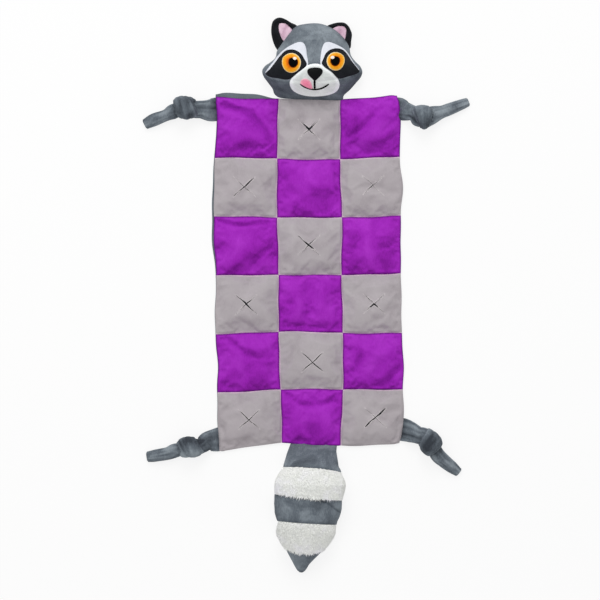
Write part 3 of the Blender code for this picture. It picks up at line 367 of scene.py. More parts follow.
def woven_grid(columns, rows):
    """A flat grid from 0 to 1 each way, with its shares kept as its UV map."""
    bm = bmesh.new()
    uv = bm.loops.layers.uv.new("UVMap")
    bmesh.ops.create_grid(bm, x_segments=columns, y_segments=rows, size=0.5)
    bmesh.ops.translate(bm, verts=bm.verts, vec=(0.5, 0.5, 0))
    for face in bm.faces:
        for loop in face.loops:
            loop[uv].uv = loop.vert.co.xy
    return bm


def shares_of(bm):
    """The shares across and up of a woven grid's places."""
    return np.array([tuple(vertex.co)[:2] for vertex in bm.verts])


def ring_faces(bm, rows):
    """Faces between rings of places, from the middle out. The first ring may be one place."""
    for first, second in zip(rows, rows[1:]):
        for index in range(len(second)):
            after = (index + 1) % len(second)
            bm.faces.new(dict.fromkeys((first[index % len(first)], second[index], second[after],
                                        first[after % len(first)])))


def keep_crisp(bm, angle):
    """Edges past an angle in degrees stay crisp."""
    for edge in bm.edges:
        if len(edge.link_faces) == 2 and edge.calc_face_angle(0) > math.radians(angle):
            edge.smooth = False


def make_piece(name, bm, material, sharp=None, flat=False):
    """A piece with outward faces and crisp edges past the sharp angle. A flat cloth looks up."""
    bmesh.ops.recalc_face_normals(bm, faces=bm.faces)
    for face in bm.faces:
        face.smooth = True
    if sharp:
        keep_crisp(bm, sharp)
    mesh = bpy.data.meshes.new(name)
    bm.to_mesh(mesh)
    bm.free()
    if flat and mesh.polygons[0].normal.z < 0:
        mesh.flip_normals()
    mesh.materials.append(material)
    piece = bpy.data.objects.new(name, mesh)
    scene.collection.objects.link(piece)
    return piece


def thicken(piece, thickness, offset=-1):
    """Gives an open cloth its thickness, with crisp cut edges."""
    for edge in piece.data.edges:
        edge.use_edge_sharp = False
    shell = piece.modifiers.new("cloth", "SOLIDIFY")
    shell.thickness = thickness
    shell.offset = offset
    shell.use_even_offset = False
    bpy.context.view_layer.update()
    thick = piece.evaluated_get(bpy.context.evaluated_depsgraph_get())
    finished = bpy.data.meshes.new_from_object(thick)
    piece.modifiers.clear()
    piece.data = finished
    bm = bmesh.new()
    bm.from_mesh(piece.data)
    keep_crisp(bm, 55)
    bm.to_mesh(piece.data)
    bm.free()


def declare(node):
    """Hides the imported part that a piece stands for."""
    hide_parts(node)


def swept_tube(rows, around):
    """A closed tube. Each row is (place, sideways axis, upward axis, half width, half height)."""
    bm = woven_grid(around, len(rows) - 1)
    for vertex in bm.verts:
        turn = math.tau * vertex.co.x
        place, aside, upward, wide, tall = rows[round(vertex.co.y * (len(rows) - 1))]
        vertex.co = place + aside * (wide * math.cos(turn)) + upward * (tall * math.sin(turn))
    bmesh.ops.remove_doubles(bm, verts=bm.verts, dist=0.00001)
    return bm


def side_axes(path, hints):
    """Sideways and upward axes along a path, with the upward axis kept near each hint."""
    axes = []
    for index, place in enumerate(path):
        ahead = path[min(index + 1, len(path) - 1)] - path[max(index - 1, 0)]
        ahead.normalize()
        hint = hints[index]
        upward = (hint - ahead * hint.dot(ahead)).normalized()
        axes.append((upward.cross(ahead), upward))
    return axes


# Materials


def linear(colour):
    """A colour as it is seen, 0 to 255, in the values that nodes use."""
    values = []
    for channel in colour:
        share = channel / 255
        values.append(share / 12.92 if share <= 0.04045 else ((share + 0.055) / 1.055) ** 2.4)
    return (*values, 1.0)


GREY = (0.5, 0.5, 0.5, 1.0)
# How close the threads of embroidery lie, in radians a metre
THREAD = 8200.0


def feed(tree, node, values):
    """Sets a node's inputs by name or number, or links them to outputs of other nodes."""
    for label, value in values.items():
        if isinstance(value, (int, float, tuple)):
            node.inputs[label].default_value = value
        else:
            tree.links.new(value, node.inputs[label])
    return node.outputs


def add_node(tree, kind, values, group=None):
    node = tree.nodes.new(kind)
    if group:
        node.node_tree = group
    return feed(tree, node, values)


def math_node(tree, operation, first, second=0.0, clamp=False):
    node = tree.nodes.new("ShaderNodeMath")
    node.operation = operation
    node.use_clamp = clamp
    return feed(tree, node, {0: first, 1: second})[0]


def mix_colours(tree, share, first, second, blend="MIX"):
    node = tree.nodes.new("ShaderNodeMix")
    node.data_type = "RGBA"
    node.blend_type = blend
    return feed(tree, node, {0: share, 6: first, 7: second})[2]


def noise_node(tree, place, scale, detail=2.0, roughness=0.5, distortion=0.0):
    return add_node(tree, "ShaderNodeTexNoise", {
        "Vector": place, "Scale": scale, "Detail": detail, "Roughness": roughness,
        "Distortion": distortion})["Fac"]


def spread(tree, value, low, high, out_low=0.0, out_high=1.0):
    return add_node(tree, "ShaderNodeMapRange", {
        "Value": value, "From Min": low, "From Max": high, "To Min": out_low,
        "To Max": out_high})["Result"]


def attribute(tree, name):
    node = tree.nodes.new("ShaderNodeAttribute")
    node.attribute_name = name
    return node.outputs["Fac"]


def new_group(name, inputs, outputs):
    """A node group with its inputs, its outputs and the place on the object. An input whose value
    is a tuple is a colour, and so is the output Colour."""
    group = bpy.data.node_groups.new(name, "ShaderNodeTree")
    for label, value in inputs.items():
        kind = "NodeSocketColor" if isinstance(value, tuple) else "NodeSocketFloat"
        group.interface.new_socket(label, in_out="INPUT", socket_type=kind).default_value = value
    for label in outputs:
        kind = "NodeSocketColor" if label == "Colour" else "NodeSocketFloat"
        group.interface.new_socket(label, in_out="OUTPUT", socket_type=kind)
    return (group, group.nodes.new("NodeGroupInput").outputs,
            group.nodes.new("NodeGroupOutput"),
            group.nodes.new("ShaderNodeTexCoord").outputs["Object"])


def make_pile_group():
    """Short plush pile: brushed lighter and darker patches mixed with the painted light and shade that the
    object carries, fine grain, and a surface of tufts.
    """
    group, given, out, place = new_group(
        "plush pile", {"Colour": GREY, "Nap and painted light": GREY, "Nap and painted shade": GREY,
                       "Patch size": 40.0, "Tuft size": 900.0, "Painted shading": 0.5},
        ("Colour", "Roughness", "Height"))
    brushed = noise_node(group, place, given["Patch size"], 3.0, 0.55, 0.6)
    streaks = add_node(group, "ShaderNodeMapping", {"Vector": place, "Scale": (1.0, 0.35, 1.0)})
    tufts = noise_node(group, streaks[0], given["Tuft size"], 2.0, 0.7)
    fine = noise_node(group, place, math_node(group, "MULTIPLY", given["Tuft size"], 2.6), 1.0)
    nap_and_painted_shading = spread(group, brushed, 0.3, 0.7)
    # The brushed patches are mixed with the object's painted light and shade
    nap_and_painted_shading = math_node(group, "ADD", math_node(group, "MULTIPLY", nap_and_painted_shading, 0.55),
                    math_node(group, "MULTIPLY", given["Painted shading"], 0.45))
    nap_and_painted_shading = math_node(group, "ADD", nap_and_painted_shading, spread(group, tufts, 0.2, 0.8, -0.16, 0.16), clamp=True)
    low = mix_colours(group, spread(group, nap_and_painted_shading, 0.0, 0.5), given["Nap and painted shade"], given["Colour"])
    feed(group, out, {
        "Colour": mix_colours(group, spread(group, nap_and_painted_shading, 0.5, 1.0), low, given["Nap and painted light"]),
        "Roughness": spread(group, fine, 0.3, 0.7, 0.82, 0.98),
        "Height": math_node(group, "ADD", math_node(group, "MULTIPLY", tufts, 0.7),
                            math_node(group, "MULTIPLY", fine, 0.3))})
    return group


def make_border_group():
    """A line of another colour along the sewn border of a cloth, uneven as a worn edge is."""
    group, given, out, place = new_group(
        "sewn border", {"Colour": GREY, "Border": GREY, "Reach": 0.0}, ("Colour",))
    wear = spread(group, noise_node(group, place, 260.0), 0.3, 0.7, 0.55, 1.0)
    share = math_node(group, "MULTIPLY", given["Reach"], wear, clamp=True)
    feed(group, out, {"Colour": mix_colours(group, share, given["Colour"], given["Border"])})
    return group


def make_stitch_group():
    """Satin stitches: fine parallel threads across a piece."""
    group, given, out, place = new_group(
        "satin stitch", {"Colour": GREY, "Turn": 0.0, "Thread": 1500.0},
        ("Colour", "Roughness", "Height"))
    turned = group.nodes.new("ShaderNodeVectorRotate")
    turned.rotation_type = "Z_AXIS"
    turned = feed(group, turned, {"Vector": place, "Angle": given["Turn"]})
    across = add_node(group, "ShaderNodeSeparateXYZ", {0: turned[0]})[1]
    wave = math_node(group, "SINE", math_node(group, "MULTIPLY", across, given["Thread"]))
    ridge = spread(group, wave, -1.0, 1.0)
    uneven = noise_node(group, place, 420.0)
    shade = math_node(group, "MULTIPLY", spread(group, ridge, 0.0, 1.0, 0.80, 1.02),
                      spread(group, uneven, 0.2, 0.8, 0.85, 1.1))
    tint = add_node(group, "ShaderNodeCombineColor", {0: shade, 1: shade, 2: shade})[0]
    feed(group, out, {"Colour": mix_colours(group, 1.0, given["Colour"], tint, "MULTIPLY"),
                      "Roughness": spread(group, uneven, 0.2, 0.8, 0.42, 0.6), "Height": ridge})
    return group


PILE = make_pile_group()
BORDER = make_border_group()
STITCH = make_stitch_group()


def new_material(name):
    material = bpy.data.materials.new(name)
    material.use_nodes = True
    return material


def set_surface(tree, colour, effect, strength, depth, glow, values):
    """Feeds the shader a colour, an effect's roughness and bump, a glow and further values."""
    bump = add_node(tree, "ShaderNodeBump", {"Strength": strength, "Distance": depth,
                                             "Height": effect["Height"]})[0]
    values = {"Base Color": colour, "Roughness": effect["Roughness"], "Normal": bump, **values}
    if glow:
        values |= {"Emission Color": colour, "Emission Strength": glow}
    feed(tree, tree.nodes["Principled BSDF"], values)


def cloth_material(name, colour, light, dark, patches=40.0, tufts=900.0, depth=0.0006,
                   sheen=0.25, borders=(), glow=0.0):
    """Plush or fleece: pile over a colour. Each border is a line of a colour by an attribute."""
    material = new_material(name)
    tree = material.node_tree
    pile = add_node(tree, "ShaderNodeGroup", {
        "Colour": linear(colour), "Nap and painted light": linear(light), "Nap and painted shade": linear(dark),
        "Patch size": patches, "Tuft size": tufts, "Painted shading": attribute(tree, "painted_shading")}, PILE)
    seen = pile["Colour"]
    for border, label in borders:
        seen = add_node(tree, "ShaderNodeGroup", {
            "Colour": seen, "Border": linear(border), "Reach": attribute(tree, label)}, BORDER)[0]
    set_surface(tree, seen, pile, 0.8, depth, glow, {
        "Specular IOR Level": 0.15, "Sheen Weight": sheen, "Sheen Roughness": 0.5,
        "Sheen Tint": linear(light)})
    return material


def stitched_material(name, colour=None, ramp=(), turn=0.0, gloss=0.25, glow=0.0):
    """Embroidery in one colour, or in a ramp of them from the middle (0) to the rim (1)."""
    material = new_material(name)
    tree = material.node_tree
    if ramp:
        node = tree.nodes.new("ShaderNodeValToRGB")
        stops = node.color_ramp.elements
        stops.remove(stops[1])
        for index, (reach, shade) in enumerate(ramp):
            stop = stops[0] if index == 0 else stops.new(reach)
            stop.position = reach
            stop.color = linear(shade)
        base = feed(tree, node, {"Fac": attribute(tree, "reach")})["Color"]
    else:
        base = linear(colour)
    stitch = add_node(tree, "ShaderNodeGroup", {"Colour": base, "Turn": turn, "Thread": THREAD},
                      STITCH)
    set_surface(tree, stitch["Colour"], stitch, 0.6, 0.00012, glow, {"Specular IOR Level": gloss})
    return material


# The purple's darker border line is painted shade of the seam valleys
purple_plush = cloth_material("purple plush", (153, 33, 178), (172, 52, 198), (110, 6, 130),
                              patches=34.0, sheen=0.12, borders=(((90, 8, 112), "border"),))
# The fleece's pink border line is the cloth's own; its lighter line along the slits' cut edges is a painted
# highlight
warm_fleece = cloth_material("warm grey fleece", (171, 164, 168), (180, 174, 177),
                             (152, 144, 149), patches=42.0, tufts=1200.0, depth=0.0004,
                             sheen=0.1,
                             borders=(((222, 188, 212), "border"), ((212, 206, 207), "slit")))
grey_plush = cloth_material("grey plush", (99, 107, 115), (144, 153, 160), (54, 59, 66),
                            patches=48.0, sheen=0.15)
backing_plush = cloth_material("backing plush", (102, 110, 117), (118, 127, 134), (82, 90, 96),
                               patches=36.0, sheen=0.15)
black_plush = cloth_material("black plush", (24, 26, 30), (40, 42, 47), (12, 13, 16),
                             tufts=800.0, sheen=0.12)
white_plush = cloth_material("white plush", (222, 225, 233), (232, 234, 241), (204, 207, 218),
                             sheen=0.1)
# The muzzle's glow is painted light, lifting it against the shade on its lower half
muzzle_plush = cloth_material("muzzle plush", (213, 217, 215), (246, 250, 247), (202, 207, 205),
                              tufts=1000.0, sheen=0.1, borders=(((246, 249, 251), "rim"),),
                              glow=0.12)
ear_plush = cloth_material("pink ear plush", (219, 185, 204), (240, 212, 226), (186, 146, 168),
                           patches=90.0, tufts=900.0, sheen=0.1)
# The fur's glow is painted light, lifting it against the shade between its locks
white_fur = cloth_material("white fur", (232, 233, 229), (241, 240, 246), (224, 225, 224),
                           patches=60.0, tufts=700.0, depth=0.0002, sheen=0.2, glow=0.27)
filling = cloth_material("filling fibre", (238, 238, 234), (245, 245, 242), (222, 222, 218),
                         patches=80.0, tufts=400.0, depth=0.0012)
iris_stitch = stitched_material(
    "orange embroidery",
    ramp=((0.0, (150, 60, 4)), (0.46, (226, 112, 8)), (0.58, (250, 152, 18)),
          (0.84, (255, 176, 38)), (0.93, (255, 212, 120)), (1.0, (255, 244, 226))), gloss=0.1)
pupil_stitch = stitched_material(
    "pupil embroidery",
    ramp=((0.0, (3, 6, 7)), (0.78, (3, 3, 4)), (0.88, (52, 22, 2)), (1.0, (150, 70, 6))),
    gloss=0.02)
black_stitch = stitched_material("black embroidery", (7, 7, 8), gloss=0.03)
nose_stitch = stitched_material("nose embroidery", (10, 11, 12), turn=0.1, gloss=0.08)
# The tongue's glow is painted light
tongue_stitch = stitched_material(
    "pink embroidery",
    ramp=((0.0, (255, 142, 172)), (0.6, (255, 152, 180)), (1.0, (254, 186, 202))), gloss=0.06,
    glow=0.14)
glint_stitch = stitched_material("white embroidery", (255, 244, 232))
squeaker_plastic = new_material("squeaker plastic")
feed(squeaker_plastic.node_tree, squeaker_plastic.node_tree.nodes["Principled BSDF"],
     {"Base Color": linear((236, 238, 240)), "Roughness": 0.35})


# Camera, floor and light


def seen_directly(tree):
    """1 for a ray from the camera and for a mirror or glass ray, else 0."""
    rays = tree.nodes.new("ShaderNodeLightPath").outputs
    return math_node(tree, "MAXIMUM", rays["Is Camera Ray"],
                     math_node(tree, "MAXIMUM", rays["Is Glossy Ray"],
                               rays["Is Transmission Ray"]))


def set_stage():
    camera = bpy.data.cameras.new("camera")
    camera.lens = CAMERA_LENS
    camera.sensor_width = 36
    camera.clip_end = 20
    view = bpy.data.objects.new("camera", camera)
    view.location = CAMERA_PLACE
    scene.collection.objects.link(view)
    scene.camera = view
    scene.view_settings.view_transform = "Standard"

    world = bpy.data.worlds.new("studio")
    scene.world = world
    world.use_nodes = True
    tree = world.node_tree
    feed(tree, tree.nodes["Background"], {
        "Strength": spread(tree, seen_directly(tree), 0.0, 1.0, 0.60, 1.0),
        "Color": (1.0, 1.0, 1.0, 1.0)})

    material = new_material("pale floor")
    tree = material.node_tree
    shader = feed(tree, tree.nodes["Principled BSDF"],
                  {"Base Color": (0.9, 0.9, 0.9, 1.0), "Roughness": 0.9})
    glow = add_node(tree, "ShaderNodeEmission", {"Strength": 1.0})
    share = math_node(tree, "MULTIPLY", seen_directly(tree), 0.82)
    blend = add_node(tree, "ShaderNodeMixShader", {0: share, 1: shader[0], 2: glow[0]})
    feed(tree, tree.nodes["Material Output"], {"Surface": blend[0]})
    bm = bmesh.new()
    bmesh.ops.create_grid(bm, x_segments=2, y_segments=2, size=6)
    make_piece("floor", bm, material, flat=True)

    for place, size, power in (((0.0, 1.7, 1.7), 1.3, 21.0), ((-0.9, 0.5, 2.2), 1.6, 11.0)):
        lamp = bpy.data.lights.new("softbox", "AREA")
        lamp.shape = "DISK"
        lamp.size = size
        lamp.energy = power
        light = bpy.data.objects.new("softbox", lamp)
        light.location = place
        light.rotation_euler = Vector(place).to_track_quat("Z", "Y").to_euler()
        scene.collection.objects.link(light)


# The mat's front


def seam_surface(u, v, height):
    """Places on the level of the seams: u counts columns from the left, v rows from the neck."""
    crossings = np.array(SEAM_CROSSINGS)
    pixels = bicubic(crossings, u, v)
    row = np.clip(np.floor(v).astype(int), 0, 5)
    swell = np.sin(np.pi * np.clip(v - row, 0, 1)) ** 2
    left = np.array(LEFT_SWELL)[row] * swell * np.clip(1 - u, 0, 1) ** 2
    right = np.array(RIGHT_SWELL)[row] * swell * np.clip(u - 2, 0, 1) ** 2
    pixels[:, 0] += right - left
    # the top and the bottom edge sag, the seams wander, and the four outer corners are rounded
    bottom = np.clip(v - 5, 0, 1) ** 3
    pixels[:, 1] += bottom * (1.8 * np.sin(np.pi * np.clip(u - 1, 0, 1)) ** 0.7
                              + 0.8 * np.sin(np.pi * np.clip(u - 2, 0, 1)))
    pixels[:, 0] += 0.45 * np.sin(v * 7.3 + 1.9 * u) * np.sin(v * 2.9 + 0.6)
    pixels[:, 1] += 0.55 * np.sin(u * 6.1 + 2.3 * v) * np.sin(u * 2.3 + 1.4 * v)
    top = np.clip(1 - v, 0, 1) ** 3
    pixels[:, 1] += top * (1.3 * np.sin(np.pi * np.clip(u, 0, 1)) ** 0.7
                           + 0.9 * np.sin(np.pi * np.clip(u - 2, 0, 1)))
    for side, end, size in ((0, 0, 0.7), (3, 0, 1.6), (0, 6, 0.4), (3, 6, 0.9)):
        near = np.exp(-((u - side) ** 2 + (v - end) ** 2) / 0.0064) * size
        pixels[:, 0] += near * (1 if side == 0 else -1)
        pixels[:, 1] += near * (1 if end == 0 else -1)
    near = (1 - height / CAMERA_PLACE.z) * PIXEL
    return np.stack([CAMERA_PLACE.x + (pixels[:, 0] - IMAGE_SIZE / 2) * near,
                     CAMERA_PLACE.y + (IMAGE_SIZE / 2 - pixels[:, 1]) * near,
                     np.full(len(u), height)], axis=1)


def swelling(share):
    """Rise of a sewn-down cloth from its seam (0 and 1) to its middle."""
    edge = np.abs(2 * share - 1)
    return np.clip(1 - edge**4.6, 0, 1) ** 0.8


def crease_height(row, column, s, t):
    """Soft creases of one patch in metres, from shares across and down it."""
    total = np.zeros(len(s))
    for points, depth, width in CREASES.get((row, column), ()):
        path = np.array([tuple(point) for point in smooth_path(points, 26)])
        away = (s[:, None] - path[None, :, 0]) ** 2 + (t[:, None] - path[None, :, 1]) ** 2
        nearest = away.argmin(axis=1)
        ends = np.sin(np.pi * np.clip((nearest + 2.5) / 30, 0, 1)) ** 0.5
        total += -depth * 0.001 * np.exp(-away.min(axis=1) / (2 * (width * 0.82) ** 2)) * ends
    rim = np.minimum.reduce([s, 1 - s, t, 1 - t])
    return total * np.clip(rim / 0.06, 0, 1)


def front_field(u, v, ruffle):
    """Places on the mat's front, and how deep in a crease each lies."""
    row = np.clip(np.floor(v).astype(int), 0, 5)
    column = np.clip(np.floor(u).astype(int), 0, 2)
    s, t = u - column, v - row
    places = seam_surface(u, v, SEAM_HEIGHT)
    crown = CROWN * swelling(s) * swelling(t)
    crease = np.zeros(len(u))
    for index in set(zip(row.tolist(), column.tolist())):
        own = (row == index[0]) & (column == index[1])
        crease[own] = crease_height(*index, s[own], t[own])
    if ruffle is not None:
        places += bicubic(ruffle, u / 3 * (ruffle.shape[1] - 1), v / 6 * (ruffle.shape[0] - 1))
    places[:, 2] = np.maximum(places[:, 2] + crown + crease, SEAM_HEIGHT)
    return places, crease


RUFFLE_CELLS = 24
# Patches are this large in mm. A patch's far edge, as a share of it
PATCH_WIDE, PATCH_TALL = 68, 63
FAR_EDGE = 0.99999


def ruffled_front():
    """Lets the front cloth, a little larger than its seams allow, ruffle between them."""
    columns, rows = RUFFLE_CELLS * 3, RUFFLE_CELLS * 6
    bm = woven_grid(columns, rows)
    shares = shares_of(bm)
    u, v = shares[:, 0] * 3, (1 - shares[:, 1]) * 6
    places, _ = front_field(np.clip(u, 0, 2 + FAR_EDGE), np.clip(v, 0, 5 + FAR_EDGE), None)
    for vertex, place in zip(bm.verts, places):
        vertex.co = place
    mesh = bpy.data.meshes.new("front_cloth")
    bm.to_mesh(mesh)
    bm.free()
    cloth = bpy.data.objects.new("front_cloth", mesh)
    scene.collection.objects.link(cloth)
    sewn = cloth.vertex_groups.new(name="sewn")
    held = [index for index, (a, b) in enumerate(zip(u, v))
            if abs(a - round(a)) < 0.01 or abs(b - round(b)) < 0.01]
    sewn.add(held, 1.0, "REPLACE")
    modifier = cloth.modifiers.new("cloth", "CLOTH")
    settings = modifier.settings
    settings.quality = 5
    settings.mass = 0.15
    settings.vertex_group_mass = "sewn"
    settings.tension_stiffness = 12
    settings.compression_stiffness = 12
    settings.shear_stiffness = 5
    settings.bending_stiffness = 0.6
    settings.shrink_min = -0.022
    settings.effector_weights.gravity = 0
    settings.use_pressure = True
    settings.uniform_pressure_force = 0.6
    modifier.point_cache.frame_start = 1
    modifier.point_cache.frame_end = 26
    for step in range(1, 25):
        scene.frame_set(step)
    dressed = cloth.evaluated_get(bpy.context.evaluated_depsgraph_get())
    moved = np.zeros(len(mesh.vertices) * 3)
    dressed.data.vertices.foreach_get("co", moved)
    shift = moved.reshape(-1, 3) - places
    length = np.linalg.norm(shift, axis=1, keepdims=True)
    shift *= np.minimum(1, 0.0030 / np.maximum(length, 1e-9))
    shift = shift[np.lexsort((np.round(u, 4), np.round(v, 4)))]
    field = shift.reshape(rows + 1, columns + 1, 3)
    bpy.data.objects.remove(cloth)
    bpy.data.meshes.remove(mesh)
    scene.frame_set(1)
    return field


def cut_slits(bm, row, column):
    """Cuts the X slit of a pocket and lifts its four flaps."""
    middle_pixel, rising, falling, lifts, pulls = SLITS[(row, column)]
    middle = spot(*middle_pixel, SEAM_HEIGHT + CROWN)
    strokes = [Vector((SLIT_REACH[0], side * SLIT_REACH[1], 0)) for side in (1, -1)]
    reach = strokes[0].length * PIXEL
    slit = bm.verts.layers.float["slit"]
    for stroke in strokes:
        across = Vector((-stroke.y, stroke.x, 0)).normalized()
        faces = [f for f in bm.faces if (f.calc_center_median() - middle).xy.length < reach * 1.3]
        geom = list({item for f in faces for item in (*f.verts, *f.edges, f)})
        bmesh.ops.bisect_plane(bm, geom=geom, dist=0.00002, plane_co=middle, plane_no=across)
    slit_edges = []
    for edge in bm.edges:
        for stroke in strokes:
            along = stroke.normalized()
            across = Vector((-along.y, along.x, 0))
            if all(abs((v.co - middle).dot(across)) < 0.00004
                   and abs((v.co - middle).dot(along)) < reach for v in edge.verts):
                slit_edges.append(edge)
                break
    bmesh.ops.split_edges(bm, edges=slit_edges)
    flaps = (Vector((0, 1, 0)), Vector((1, 0, 0)), Vector((0, -1, 0)), Vector((-1, 0, 0)))
    moves = []
    for vertex in bm.verts:
        away = vertex.co - middle
        away.z = 0
        if away.length > reach * 1.9 or not vertex.link_faces:
            continue
        heart = sum((f.calc_center_median() for f in vertex.link_faces), Vector())
        heart = heart / len(vertex.link_faces) - middle
        move = Vector()
        for stroke, opening in zip(strokes, (rising, falling)):
            along = stroke.normalized()
            across = Vector((-along.y, along.x, 0))
            share = away.dot(along) / reach
            side = 1 if heart.dot(across) > 0 else -1
            far = abs(away.dot(across))
            if abs(share) < 1:
                lips = 0.7 + 0.3 * math.sin(share * 5 + middle_pixel[0])
                wander = 0.00035 * math.sin(share * 4.3 + middle_pixel[1]) * (1 - share**2)
                move += across * ((side * opening * 0.0005 * lips * (1 - share**2) ** 0.5 + wander)
                                  * math.exp(-(far / 0.009) ** 2))
        turn = max(range(4), key=lambda k: heart.xy.dot(flaps[k].xy))
        deep = away.dot(flaps[turn]) / (reach * 0.72)
        weight = max(1 - max(deep, 0), 0) ** 1.1
        side_share = min(abs(away.dot(Vector((-flaps[turn].y, flaps[turn].x, 0)))) / reach, 1)
        weight *= 1 - 0.6 * side_share
        if away.length < reach:
            move += flaps[turn] * (pulls[turn] * 0.001 * weight)
            move.z += lifts[turn] * 0.001 * weight
        moves.append((vertex, move))
    for vertex, move in moves:
        vertex.co += move
    # The cut edges get a lighter line, a painted highlight where they catch the light
    for edge in bm.edges:
        if edge.is_boundary and max((v.co - middle).xy.length for v in edge.verts) < reach * 1.2:
            for vertex in edge.verts:
                vertex[slit] = 0.8


def make_patches(ruffle):
    for row in range(6):
        for column in range(3):
            pocket = (row + column) % 2 == 1
            bm = woven_grid(54, 50)
            painted_shading = bm.verts.layers.float.new("painted_shading")
            border = bm.verts.layers.float.new("border")
            bm.verts.layers.float.new("slit")
            eased = 0.5 + 0.5 * np.sin((shares_of(bm) - 0.5) * math.pi * 0.86) \
                / math.sin(0.43 * math.pi)
            s, t = eased[:, 0], 1 - eased[:, 1]
            u = np.clip(column + s, column, column + FAR_EDGE)
            places, crease = front_field(u, np.clip(row + t, row, row + FAR_EDGE), ruffle)
            above, _ = front_field(u, np.clip(row + t - 0.02, row, row + FAR_EDGE), ruffle)
            slope = (above[:, 2] - places[:, 2]) / 0.0013
            rims = [s * PATCH_WIDE, (1 - s) * PATCH_WIDE, t * PATCH_TALL, (1 - t) * PATCH_TALL]
            if pocket:
                outer = (column == 0, column == 2, row == 0, row == 5)
                rims = [rim for rim, bare in zip(rims, outer) if not bare]
            rim = np.minimum.reduce(rims)
            # Painted light and shade: creases are painted darker, and slopes that face the neck are painted
            # lighter and those that face away darker, as if lit from the neck's side
            shade = 0.60 + crease * (150 if pocket else 380) \
                - np.clip(slope, -1, 1) * (0.35 if pocket else 0.9)
            # The purple patches' darker border line is painted shade of the seam valleys; the pockets' pink
            # border line is the cloth's own
            line = np.clip(1.25 - rim / (1.1 if pocket else 1.5), 0, 1)
            for vertex, place, dark, edge in zip(bm.verts, places, shade, line):
                vertex.co = place
                vertex[painted_shading] = min(max(dark, 0), 1)
                vertex[border] = edge
            if pocket:
                cut_slits(bm, row, column)
            name = f"{'pocket' if pocket else 'plain_patch'}_row_{row + 1}_{COLUMNS[column]}"
            piece = make_piece(f"{name}_cloth", bm, warm_fleece if pocket else purple_plush,
                               flat=True)
            thicken(piece, PATCH_CLOTH)
            if row < 5:
                bend_at_seam(piece, row + 1)
            else:
                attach(piece, "row_6")
            declare(name)


def bend_at_seam(piece, seam):
    """Bends a cloth just above a cross seam's highest place, so that both rows meet along it."""
    u = np.linspace(0.001, 2.999, 60)
    high = float(seam_surface(u, np.full(60, float(seam)), 0.0)[:, 1].max())
    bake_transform(piece, f"row_{seam}", f"row_{seam + 1}", start=(0, high + 0.0068, 0),
             end=(0, high + 0.0005, 0))


def make_cross_seams():
    """The narrow turned-in seam allowances that show where a row folds back."""
    for seam in range(1, 6):
        bm = woven_grid(60, 8)
        painted_shading = bm.verts.layers.float.new("painted_shading")
        for vertex in bm.verts:
            across = vertex.co.y - 0.5
            u, v = np.array([vertex.co.x * 2.96 + 0.02]), np.array([seam - across * 0.19])
            place = seam_surface(u, v, 0.0018)[0]
            place[2] += 0.0004 * math.cos(across * math.pi)
            vertex.co = place
            # The seam allowance is painted darker, as painted shade of the seam's valley
            vertex[painted_shading] = 0.25
        piece = make_piece(f"cross_seam_{seam}", bm, backing_plush, flat=True)
        thicken(piece, 0.0005)
        bend_at_seam(piece, seam)


def backing_outline(u, v):
    """Places of the backing's edge: just inside the front, but for where it peeks out."""
    places = seam_surface(u, v, BACKING)
    left = np.clip(1 - u, 0, 1) ** 6
    right = np.clip(u - 2, 0, 1) ** 6
    top = np.clip(1 - v, 0, 1) ** 6
    bottom = np.clip(v - 5, 0, 1) ** 6
    peek_left = 0.0016 * np.exp(-((v - 2.0) / 0.85) ** 4) + 0.0004
    peek_top = 0.0050 * np.exp(-((u - 0.42) / 0.40) ** 4) + 0.0008 * np.exp(-(u * 2) ** 2)
    places[:, 0] -= left * peek_left + right * 0.0006
    places[:, 1] += top * peek_top + bottom * 0.0004
    return places


def make_backing():
    ends = [0.0, 0.5, 1.5, 2.5, 3.5, 4.5, 5.5, 6.0]
    for index, (first, last) in enumerate(zip(ends, ends[1:])):
        bm = woven_grid(66, max(int((last - first) * 26), 8))
        painted_shading = bm.verts.layers.float.new("painted_shading")
        shares = shares_of(bm)
        u = np.clip(shares[:, 0] * 3, 0, 2 + FAR_EDGE)
        v = np.clip(first + (1 - shares[:, 1]) * (last - first), 0, 5 + FAR_EDGE)
        places = backing_outline(u, v)
        for vertex, place, a, b in zip(bm.verts, places, u, v):
            aside, along = abs(a - round(a)) * PATCH_WIDE, abs(b - round(b)) * PATCH_TALL
            sewn = 0 < round(a) < 3 and aside < 4 or 0 < round(b) < 6 and along < 4
            groove = 0.0007 * math.exp(-(min(aside, along) / 1.3) ** 2) if sewn else 0
            soft = 0.00025 * noise.noise(Vector((a * 3, b * 3, 1.7)))
            vertex.co = place
            vertex.co.z = REST + 0.0003 + groove + soft
            # The sewn grooves are painted darker, as painted shade in them
            vertex[painted_shading] = 0.55 - groove * 500
        piece = make_piece(f"backing_cloth_{index + 1}", bm, backing_plush, flat=True)
        thicken(piece, 0.0012, offset=1)
        if index in (0, 6):
            row = 1 if index == 0 else 6
            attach(piece, f"row_{row}")
            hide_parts(f"backing_row_{row}")
        else:
            bend_at_seam(piece, index)
            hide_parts(f"backing_row_{index}", f"backing_row_{index + 1}")


# The head


def head_seam_height(y):
    return 0.0030 + 0.0110 * smooth_step((y - NECK_Y) / 0.030)


def head_grid(rings, around):
    """Places of the head between its middle and its outline, with the share out from the middle."""
    middle = spot(*HEAD_MIDDLE, 0.014)
    outline = []
    for px, py in smooth_path(HEAD_OUTLINE, around, closed=True):
        place = spot(px, py, 0.014)
        outline.append(spot(px, py, head_seam_height(place.y)))
    grid = []
    for ring in range(rings + 1):
        share = math.sin(ring / rings * math.pi / 2) ** 1.05
        grid.append([(middle.lerp(rim, share), share) for rim in outline])
    return grid


